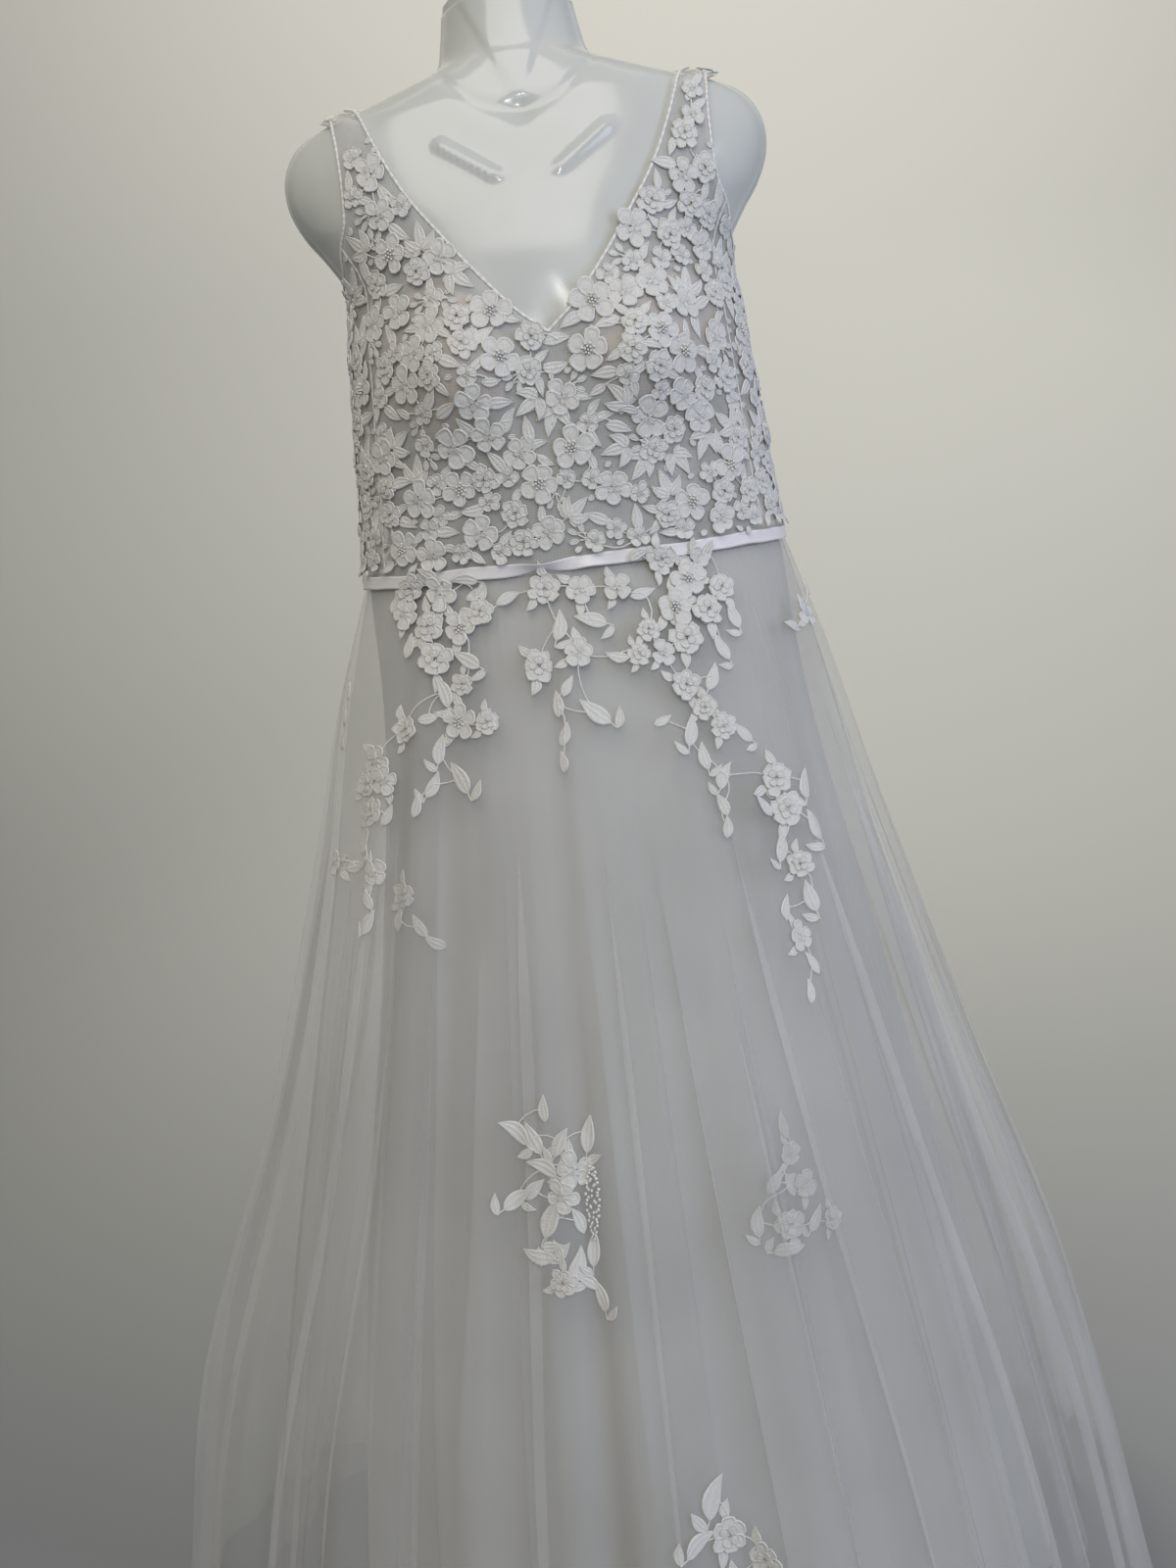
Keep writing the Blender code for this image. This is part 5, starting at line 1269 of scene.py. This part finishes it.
def panel_mesh(outline, spacing):
    """Even triangles inside an outline: layout points and faces."""
    outline = dense(outline, spacing)
    low, high = outline.min(axis=0), outline.max(axis=0)
    rows = np.arange(low[1] + spacing / 2, high[1], spacing * 0.87)
    grid = []
    for number, y in enumerate(rows):
        xs = np.arange(low[0] + (number % 2) * spacing / 2, high[0], spacing)
        grid.append(np.stack((xs, np.full(len(xs), y)), axis=1))
    grid = np.concatenate(grid)
    grid = grid[inside_outline(grid, outline)]
    clear = np.array([np.hypot(*(outline - p).T).min() for p in grid]) > spacing * 0.5
    grid = grid[clear]
    points = np.concatenate((outline, grid))
    count = len(outline)
    edges = [(i, (i + 1) % count) for i in range(count)]
    vertices, _, faces, _, _, _ = delaunay_2d_cdt([Vector(p) for p in points], edges, [], 1, 1e-7)
    return np.array([tuple(p) for p in vertices]), np.array([tuple(f) for f in faces])


def net_panel(name, node, outline, side=1):
    flat, faces = panel_mesh(outline, NET_SPACING)
    flat = flat * np.array((side, 1.0))
    if side < 0:
        faces = faces[:, ::-1]
    theta, v = flat[:, 0] / ARC, flat[:, 1]
    points = torso_points(theta, v, 1.0, NET_LIFT + drag_lift(theta, v))
    piece = add_piece(name, points, faces, bodice_net, flat)
    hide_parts(node)
    return piece


def rolled_edge(name, line, side=1, half_width=0.0014, half_thick=0.0007, sides=6):
    """A bound edge or seam: a flat roll of net along a line of the layout."""
    line = smooth_line(line * np.array((side, 1.0)), max(12, int(len(line) * 1.5)))
    theta, v = line[:, 0] / ARC, line[:, 1]
    middle = torso_points(theta, v, 1.0, NET_LIFT + 0.0004)
    normal = outward(lambda a, b: bare_torso(a, b, 1.0), theta, v)
    across = np.cross(normal, directions(middle))
    turn = round_angles(sides)
    points = (
        middle[:, None] + across[:, None] * (half_width * np.cos(turn))[None, :, None]
        + normal[:, None] * (half_thick * np.sin(turn))[None, :, None]
    )
    faces = grid_faces(len(line), sides, closed=True)[:, ::-1]
    cord = np.full(len(line) * sides, 0.7)
    layout = np.stack((np.repeat(np.arange(len(line)) * 0.0021, sides), np.tile(turn, len(line))), axis=1)
    return add_piece(name, points.reshape(-1, 3), faces, embroidery, layout, cord)


def bust_cup(name, node, side):
    """A round cup with a stitched edge, between the form and the net."""
    rings, steps = 16, 48
    turn = round_angles(steps)
    reach = CUP_REACH + CUP_SPREAD * np.maximum(0.0, np.cos(turn - math.radians(65.0))) ** 2
    points, layout, faces = [], [], []
    for ring in range(rings):
        share = 1.0 - ring / rings
        x = CUP_X + reach * share * np.cos(turn)
        z = CUP_Z + reach * share * np.sin(turn)
        theta, v = dress_place(x, z)
        stitched = 0.0004 * math.exp(-((share - 0.93) / 0.012) ** 2)
        edge = CUP_LIFT - 0.0013 * smooth_step((share - 0.955) / 0.045) - stitched
        points.append(torso_points(side * theta, v, 0.0, np.full(steps, edge)))
        layout.append(np.stack((x, z), axis=1))
    points, layout = np.concatenate(points), np.concatenate(layout)
    faces = grid_faces(rings, steps, closed=True)
    theta, v = dress_place(CUP_X, CUP_Z)
    points = np.concatenate((points, torso_points(side * theta, v, 0.0, CUP_LIFT)[None]))
    layout = np.concatenate((layout, [(CUP_X, CUP_Z)]))
    last, hub = (rings - 1) * steps, rings * steps
    fan = np.array([(last + i, last + (i + 1) % steps, hub) for i in range(steps)])
    if side < 0:
        faces, fan = faces[:, ::-1], fan[:, ::-1]
    piece = add_piece(name, points, [*faces, *fan], knit, layout)
    thicken(piece, CUP_WALL)
    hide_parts(node)


# The ribbon and the buttons

RIBBON_COLUMNS = np.linspace(-1.0, 1.0, 9)
TWIST_AT, TWIST_HALF = math.radians(-9.0), math.radians(5.5)     # where the ribbon rolls a little


def waist_ribbon(name, node, start, end):
    """A stretch of the ribbon, with stitched edges and, in front, one twist."""
    count = int(abs(end - start) / 0.8) + 1
    theta = np.linspace(math.radians(start) + SEAM / ARC, math.radians(end) - SEAM / ARC, count)
    wander = 0.0005 * np.sin(theta * 9.0) + 0.0003 * np.sin(theta * 23.0)
    middle_v = v_at_height((RIBBON_LOW + RIBBON_HIGH) / 2) + wander * (np.abs(np.abs(theta) - 1.54) > 0.05)
    half = (RIBBON_HIGH - RIBBON_LOW) / 2
    turn = 0.85 * np.exp(-(((theta - TWIST_AT) / TWIST_HALF) ** 2))
    turn -= 0.45 * np.exp(-(((theta - TWIST_AT - 2.2 * TWIST_HALF) / (0.6 * TWIST_HALF)) ** 2))
    upright = np.abs(np.sin(turn))
    lift = RIBBON_LIFT + upright * half * 0.42
    middle = torso_points(theta, middle_v, 1.0, lift)
    normal = outward(lambda a, b: bare_torso(a, b, 1.0), theta, middle_v)
    up = np.array((0.0, 0.0, 1.0)) - normal * normal[:, 2:]
    up /= np.linalg.norm(up, axis=1, keepdims=True)
    reach = half * (1.0 - 0.20 * upright)
    across = up * np.cos(turn)[:, None] + normal * np.sin(turn)[:, None]
    face = normal * np.cos(turn)[:, None] - up * np.sin(turn)[:, None]
    roll = 0.00035 * np.exp(-(((np.abs(RIBBON_COLUMNS) - 0.86) / 0.12) ** 2))
    points = (
        middle[:, None] + across[:, None] * (reach[:, None] * RIBBON_COLUMNS)[..., None]
        + face[:, None] * roll[None, :, None]
    )
    columns = len(RIBBON_COLUMNS)
    layout = np.stack((np.repeat(theta * 0.16, columns), np.tile(RIBBON_COLUMNS * half, count)), axis=1)
    faces = grid_faces(count, columns)[:, ::-1]
    piece = add_piece(name, points.reshape(-1, 3), faces, satin, layout)
    thicken(piece, RIBBON_WALL)
    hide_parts(node)


def covered_button(number):
    """A domed button covered in satin, with a rolled rim."""
    node = f"button_{number}"
    low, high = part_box(node)
    centre = (low + high) / 2
    radius, depth = (high.x - low.x) / 2, (high.y - low.y) / 2
    profile = ((0.0, 1.0), (0.35, 0.95), (0.62, 0.80), (0.82, 0.52), (0.92, 0.30), (1.0, 0.10),
               (0.99, -0.15), (0.90, -0.40), (0.45, -0.62), (0.40, -1.0), (0.0, -1.0))
    steps = 24
    turn = round_angles(steps)
    points, layout = [], []
    for r, y in profile:
        dent = 1.0 - 0.012 * np.cos(8 * turn) * (0.5 < r)
        x, z = r * radius * np.cos(turn) * dent, r * radius * np.sin(turn) * dent
        points.append(np.stack((centre.x + x, np.full(steps, centre.y + y * depth), centre.z + z), axis=1))
        layout.append(np.stack((x, z), axis=1))
    faces = grid_faces(len(profile), steps, closed=True)
    points, layout = np.concatenate(points), np.concatenate(layout)
    piece = add_piece(f"{node}_satin", points, faces, satin, layout)
    weld = piece.modifiers.new("close the ends", "WELD")
    weld.merge_threshold = 0.00002
    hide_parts(node)
    return centre


def button_loops(centres):
    """Thin cord loops that hold the buttons, all in one piece."""
    points, faces, sides, count = [], [], 6, 22
    for number, centre in enumerate(centres):
        turn = np.linspace(math.radians(28.0), math.radians(332.0), count)
        reach = BUTTON_RADIUS * 0.86
        x = centre.x + reach * np.cos(turn)
        z = centre.z + reach * 0.62 * np.sin(turn)
        x[0] = x[-1] = 0.0042
        path = np.stack((x, np.full(count, centre.y - 0.0012), z), axis=1)
        across = np.cross(directions(path), (0.0, 1.0, 0.0))
        around = round_angles(sides)
        ring = (
            path[:, None] + 0.0006 * across[:, None] * np.cos(around)[None, :, None]
            + 0.0006 * np.array((0.0, 1.0, 0.0)) * np.sin(around)[None, :, None]
        )
        points.append(ring.reshape(-1, 3))
        faces.append(grid_faces(count, sides, closed=True) + number * count * sides)
    points = np.concatenate(points)
    add_piece("button_loops", points, np.concatenate(faces), satin, points[:, [0, 2]])


# The skirt


def gore(name, node, layer, start, end, step, rows, material):
    """One gore of a layer between two seams, with its rows closer together near the waist."""
    edge = SEAM / SKIRT_ARC
    columns = max(8, int((end - start) / step))
    angle = np.linspace(start + edge, end - edge, columns)
    share = np.linspace(0.0, 1.0, rows)
    height = SKIRT_TOP * (1.0 - (1.0 - share) ** 1.12)
    grid_angle, grid_height = np.meshgrid(angle, height)
    points = layer.points(grid_angle, grid_height)
    layout = np.stack((grid_angle * SKIRT_ARC, grid_height), axis=-1).reshape(-1, 2)
    piece = add_piece(name, points.reshape(-1, 3), grid_faces(rows, columns), material, layout)
    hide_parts(node)


def skirt_layer(prefix, label, layer, seams, step, rows, material):
    angles = [layer.seam_angle(d) for _, d in seams]
    for i, (part, _) in enumerate(seams):
        end = angles[i + 1] if i + 1 < len(angles) else angles[0] + math.tau
        name, node = f"{prefix}_{part}_{label}", f"{prefix}_{part}"
        gore(name, node, layer, angles[i], end, step, rows, material)


# The form

def form_relief(theta, v, height, x):
    """Lift of the form's surface: its lip, the collarbone ridges and the hollow of the throat."""
    row = hermite(LENGTHS, TORSO_ROWS, TORSO_SLOPES, v)
    to_edge = (math.pi / 2 - np.abs(theta)) * row[..., 2]
    lip = RIM_RAISE * smooth_step((RIM_WIDTH + 0.0008 - to_edge) / 0.0016)
    groove = -0.0009 * np.exp(-(((to_edge - RIM_WIDTH - 0.0022) / 0.0011) ** 2))
    start, end = np.array(BAR_START), np.array(BAR_END)
    along = end - start
    place = np.stack((np.abs(x), height), axis=-1) - start
    t = np.clip((place @ along) / (along @ along), 0.0, 1.0)
    away = np.linalg.norm(place - t[..., None] * along, axis=-1)
    bar = BAR_RAISE * 0.9 * (1.0 - smooth_step((away - 0.0018) / 0.0052))
    crease_at = 1.499 + 0.036 * np.clip((np.abs(x) - 0.012) / 0.053, 0.0, None) ** 1.7
    near_neck = smooth_step((0.078 - np.abs(x)) / 0.02) * (np.cos(theta) > 0.2)
    throat = -0.0014 * np.exp(-(((height - crease_at) / 0.0065) ** 2)) * near_neck
    fold_at = 0.036 * np.clip((height - 1.500) / 0.085, 0.0, None)
    above_notch = smooth_step((height - 1.494) / 0.012)
    sinew = 0.0016 * smooth_step((fold_at + 0.004 - np.abs(x)) / 0.008) * above_notch
    notch = -0.0034 * np.exp(-((x / 0.009) ** 2) - ((height - 1.496) / 0.010) ** 2)
    return lip + groove + bar + throat + sinew + notch


def form_torso():
    """The vacuum-formed half torso, its open back and its rolled lip."""
    rows, columns = 232, 150
    share = np.linspace(-1.0, 1.0, columns)
    theta = math.pi / 2 * np.sign(share) * np.abs(share) ** 0.86
    v = np.linspace(0.0, LENGTHS[-1], rows)
    grid_theta, grid_v = np.meshgrid(theta, v)
    bare = bare_torso(grid_theta, grid_v, 0.0)
    lift = form_relief(grid_theta, grid_v, bare[..., 2], bare[..., 0])
    points = torso_points(grid_theta, grid_v, 0.0, lift)
    faces = grid_faces(rows, columns)
    piece = add_piece("form_torso", points.reshape(-1, 3), faces, polystyrene)
    thicken(piece, FORM_WALL)
    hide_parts("form_shell")


# The camera, the studio and the lights

def make_camera():
    data = bpy.data.cameras.new("camera")
    data.sensor_width = 36.0
    data.lens = 36.0 * FOCAL_PIXELS / PHOTO_SIZE[1]
    camera = bpy.data.objects.new("camera", data)
    bpy.context.scene.collection.objects.link(camera)
    ahead = Vector((0.0, math.cos(CAMERA_PITCH), -math.sin(CAMERA_PITCH)))
    level_up = Vector((0.0, math.sin(CAMERA_PITCH), math.cos(CAMERA_PITCH)))
    level_right = Vector((1.0, 0.0, 0.0))
    right = level_right * math.cos(CAMERA_ROLL) - level_up * math.sin(CAMERA_ROLL)
    up = level_right * math.sin(CAMERA_ROLL) + level_up * math.cos(CAMERA_ROLL)
    turn = Matrix((right, up, -ahead)).transposed()
    camera.matrix_world = Matrix.Translation(CAMERA_PLACE) @ turn.to_4x4()
    bpy.context.scene.camera = camera
    bpy.context.scene.view_settings.view_transform = "Standard"


# name, place, target, size, watts, colour, spread in degrees, whether it shows in reflections
LIGHTS = (
    ("window", (2.2, -1.8, 1.5), (0.1, 0.0, 0.8), (1.2, 1.8), 27.0, "#CCDCFF", 180.0, True),
    ("ceiling", (-0.2, -2.0, 3.2), (0.0, -0.1, 1.3), (2.4, 1.6), 33.0, "#FFF8EC", 180.0, True),
    ("lamp", (0.22, -2.5, 1.9), (0.0, 0.0, 1.3), (0.06, 0.4), 4.0, "#FFFFFF", 180.0, True),
    ("wall light", (0.8, 0.9, 4.2), (0.6, 2.9, 1.6), (4.0, 2.0), 23.0, "#FFFAF2", 110.0, True),
    ("back light", (-0.6, 1.9, 3.0), (0.0, 0.0, 0.9), (2.0, 1.0), 20.0, "#FFFAF2", 110.0, False),
)
AIR_STRENGTH = 0.34     # of the pale light from all sides
SWEEP_START, SWEEP_RADIUS = 1.0, 1.9     # where the floor begins to turn up into the wall
PAINTED_LIGHT_SLOPE = (0.13, 0.36, 0.24)     # painted light: how the painted colour rises towards the right, back and top, standing in for the light's falloff


def area_light(name, place, target, size, power, colour, spread, glossy):
    data = bpy.data.lights.new(name, "AREA")
    data.shape = "RECTANGLE"
    data.size, data.size_y = size
    data.energy = power
    data.color = linear(colour)
    data.spread = math.radians(spread)
    light = bpy.data.objects.new(name, data)
    light.location = place
    light.rotation_euler = (Vector(target) - Vector(place)).to_track_quat("-Z", "Y").to_euler()
    light.visible_camera = False
    light.visible_glossy = glossy
    bpy.context.scene.collection.objects.link(light)


def make_studio():
    """A pale floor that sweeps up into a pale wall behind, and soft light. The paint is painted darker
    towards the front left and paler towards the right, back and top, as painted light falloff.
    """
    start, radius = SWEEP_START, SWEEP_RADIUS
    profile = [(-5.0, 0.0), (start, 0.0)]
    bend = np.linspace(0.1, math.pi / 2, 16)
    profile += [(start + radius * math.sin(a), radius - radius * math.cos(a)) for a in bend]
    profile.append((start + radius, 6.0))
    points = [(x, y, z - 0.0008) for y, z in profile for x in (-7.0, 7.0)]
    faces = [(2 * i, 2 * i + 1, 2 * i + 3, 2 * i + 2) for i in range(len(profile) - 1)]
    mesh = bpy.data.meshes.new("studio_sweep")
    mesh.from_pydata(points, [], faces)
    mesh.shade_smooth()
    material, tree, shader = new_material("matt studio paint", {"Roughness": 0.9, "IOR": 1.45})
    place = add_node(tree, "ShaderNodeTexCoord")
    painted_falloff = add_node(tree, "ShaderNodeVectorMath", {"operation": "DOT_PRODUCT"}, {
        0: place.outputs["Object"], 1: PAINTED_LIGHT_SLOPE,
    })
    share = add_node(tree, "ShaderNodeMapRange", inputs={
        "Value": painted_falloff.outputs["Value"], "From Min": -0.06, "From Max": 1.62,
    })
    # painted shade at the dark grey end of the ramp, painted light at the pale end
    ramp = add_node(tree, "ShaderNodeValToRGB", inputs={"Fac": share.outputs["Result"]})
    ramp.color_ramp.elements[0].color = (*linear("#787B7E"), 1.0)
    ramp.color_ramp.elements[1].color = (*linear("#EEEEE6"), 1.0)
    tree.links.new(ramp.outputs["Color"], shader.inputs["Base Color"])
    mesh.materials.append(material)
    sweep = bpy.data.objects.new("studio_sweep", mesh)
    bpy.context.scene.collection.objects.link(sweep)
    world = bpy.data.worlds.new("studio air")
    world.use_nodes = True
    air = world.node_tree.nodes["Background"]
    air.inputs["Color"].default_value = (*linear("#E9E7E1"), 1.0)
    air.inputs["Strength"].default_value = AIR_STRENGTH
    bpy.context.scene.world = world
    for light in LIGHTS:
        area_light(*light)


make_camera()
make_studio()

polystyrene = glossy_polystyrene()
embroidery = corded_embroidery()
bodice_net = bodice_net_cloth()
outer_tulle = tulle_cloth("outer nylon tulle", 0.24, "#D4D4D2", "#E0E0DE")
middle_tulle = tulle_cloth("middle nylon tulle", 0.27, "#D0D0CE", "#DCDCDA")
lining_cloth = lining_satin()
satin = ribbon_satin()
knit = cup_knit()
bead_glass = seed_bead_glass()
powder_coat = stand_powder_coat()

for node, material in (
    ("neck_cap", polystyrene), ("stand_base", powder_coat),
    ("stand_collar", powder_coat), ("stand_pole", powder_coat),
):
    for material_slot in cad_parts[node].material_slots:
        material_slot.material = material

dress = bare_dress(outer_layer)
under_dress = bare_dress(middle_layer)

form_torso()
for side, label in ((-1, "left"), (1, "right")):
    bust_cup(f"cup_{label}_knit", f"cup_{label}", side)

# The bodice, panel by panel
front, front_arm, front_neck = front_outline()
front_net = net_panel("bodice_front_net", "bodice_front", front)
front_pieces = sew_panel_lace("bodice_front", front, FRONT_FLOWERS, 9000,
                              lambda m: clear_of_ridge(m, 1))
for side, label in ((-1, "left"), (1, "right")):
    front_pieces.append(rolled_edge(f"neck_binding_front_{label}", front_neck, side))
    front_pieces.append(rolled_edge(f"arm_binding_front_{label}", front_arm, side))
under_arm, side_arm = side_outline()
back, back_neck, back_arm = back_outline()
placket = math.pi - 2.6 * BUTTON_RADIUS / ARC
for side, label in ((-1, "left"), (1, "right")):
    net = net_panel(f"bodice_side_{label}_net", f"bodice_side_{label}", under_arm, side)
    sewn = sew_panel_lace(f"bodice_side_{label}", under_arm * np.array((side, 1.0)), (), 2500)
    sewn.append(rolled_edge(f"arm_binding_side_{label}", side_arm, side))
    net = net_panel(f"bodice_back_{label}_net", f"bodice_back_{label}", back, side)
    sewn = sew_panel_lace(f"bodice_back_{label}", back * np.array((side, 1.0)), (), 4500,
                          lambda m: abs(m[0]) + m[2] / NEAR_ARC < placket and clear_of_ridge(m, -1))
    sewn.append(rolled_edge(f"neck_binding_back_{label}", back_neck, side))
    sewn.append(rolled_edge(f"arm_binding_back_{label}", back_arm, side))
    for seam_at, top in ((SIDE_FRONT, ARM_FRONT_TOP), (SIDE_BACK, ARM_BACK_TOP)):
        seam = seam_line(degrees_arc(seam_at), top)
        rolled_edge(f"seam_{label}_{int(seam_at)}", seam, side, 0.0011, 0.0004)

waist_ribbon("ribbon_front_satin", "ribbon_front", -88.0, 88.0)
waist_ribbon("ribbon_back_right_satin", "ribbon_back_right", 88.0, 180.0)
waist_ribbon("ribbon_back_left_satin", "ribbon_back_left", -180.0, -88.0)
button_loops([covered_button(i + 1) for i in range(BUTTONS)])

# The skirt, layer by layer
OUTER_GORES = (
    ("back_left", -179.0), ("side_left", -100.0), ("front", -46.0), ("side_right", 46.0),
    ("back_right", 100.0),
)
MIDDLE_GORES = (("side_left", -130.0), ("front", -45.0), ("side_right", 45.0), ("back", 130.0))
LINING_GORES = (("side_left", -125.0), ("front", -50.0), ("side_right", 50.0), ("back", 125.0))
# name, cloth, layer, seams, degrees between columns, rows, material, slot
for prefix, label, layer, seams, step, rows, material, slot in (
    ("outer", "tulle", outer_layer, OUTER_GORES, 0.25, 56, outer_tulle, "tulle"),
    ("middle", "tulle", middle_layer, MIDDLE_GORES, 0.33, 44, middle_tulle, "tulle"),
    ("lining", "satin", lining_layer, LINING_GORES, 0.6, 40, lining_cloth, "lining"),
):
    skirt_layer(prefix, label, layer, seams, math.radians(step), rows, material)

# Lace that hangs on the skirt
waist_motifs = [
    (math.radians(a), V_WAIST - (WAIST - z / 1000), size / 1000, turn, kind)
    for a, z, size, turn, kind in WAIST_LACE
]
front_motifs = placed_on(outer_layer, OUTER_LACE)
sew_skirt_lace("skirt_front", dress, waist_motifs + front_motifs)
bunch = Lace(dress)
sew_beads(bunch, *place_on(outer_layer, *BEAD_CLUSTER),
          [(0.0080 * math.sin(2.4 * i) * math.sin(0.3 + i / 22), BUNCH_STEP * i - 0.034)
           for i in range(BUNCH_BEADS)],
          0.0017, 0.0026)
bunch.build("spray_beads", bead_glass, "lace")
back_motifs = [
    (math.copysign(math.pi, theta) - theta, v - BACK_SHIFT, size * BACK_SCALE, turn + BACK_TURN, kind)
    for theta, v, size, turn, kind in front_motifs if abs(theta) < math.radians(BACK_WIDEST)
]
sew_skirt_lace("skirt_back", dress, back_motifs)
sew_skirt_lace("skirt_middle", under_dress, placed_on(middle_layer, MIDDLE_LACE))
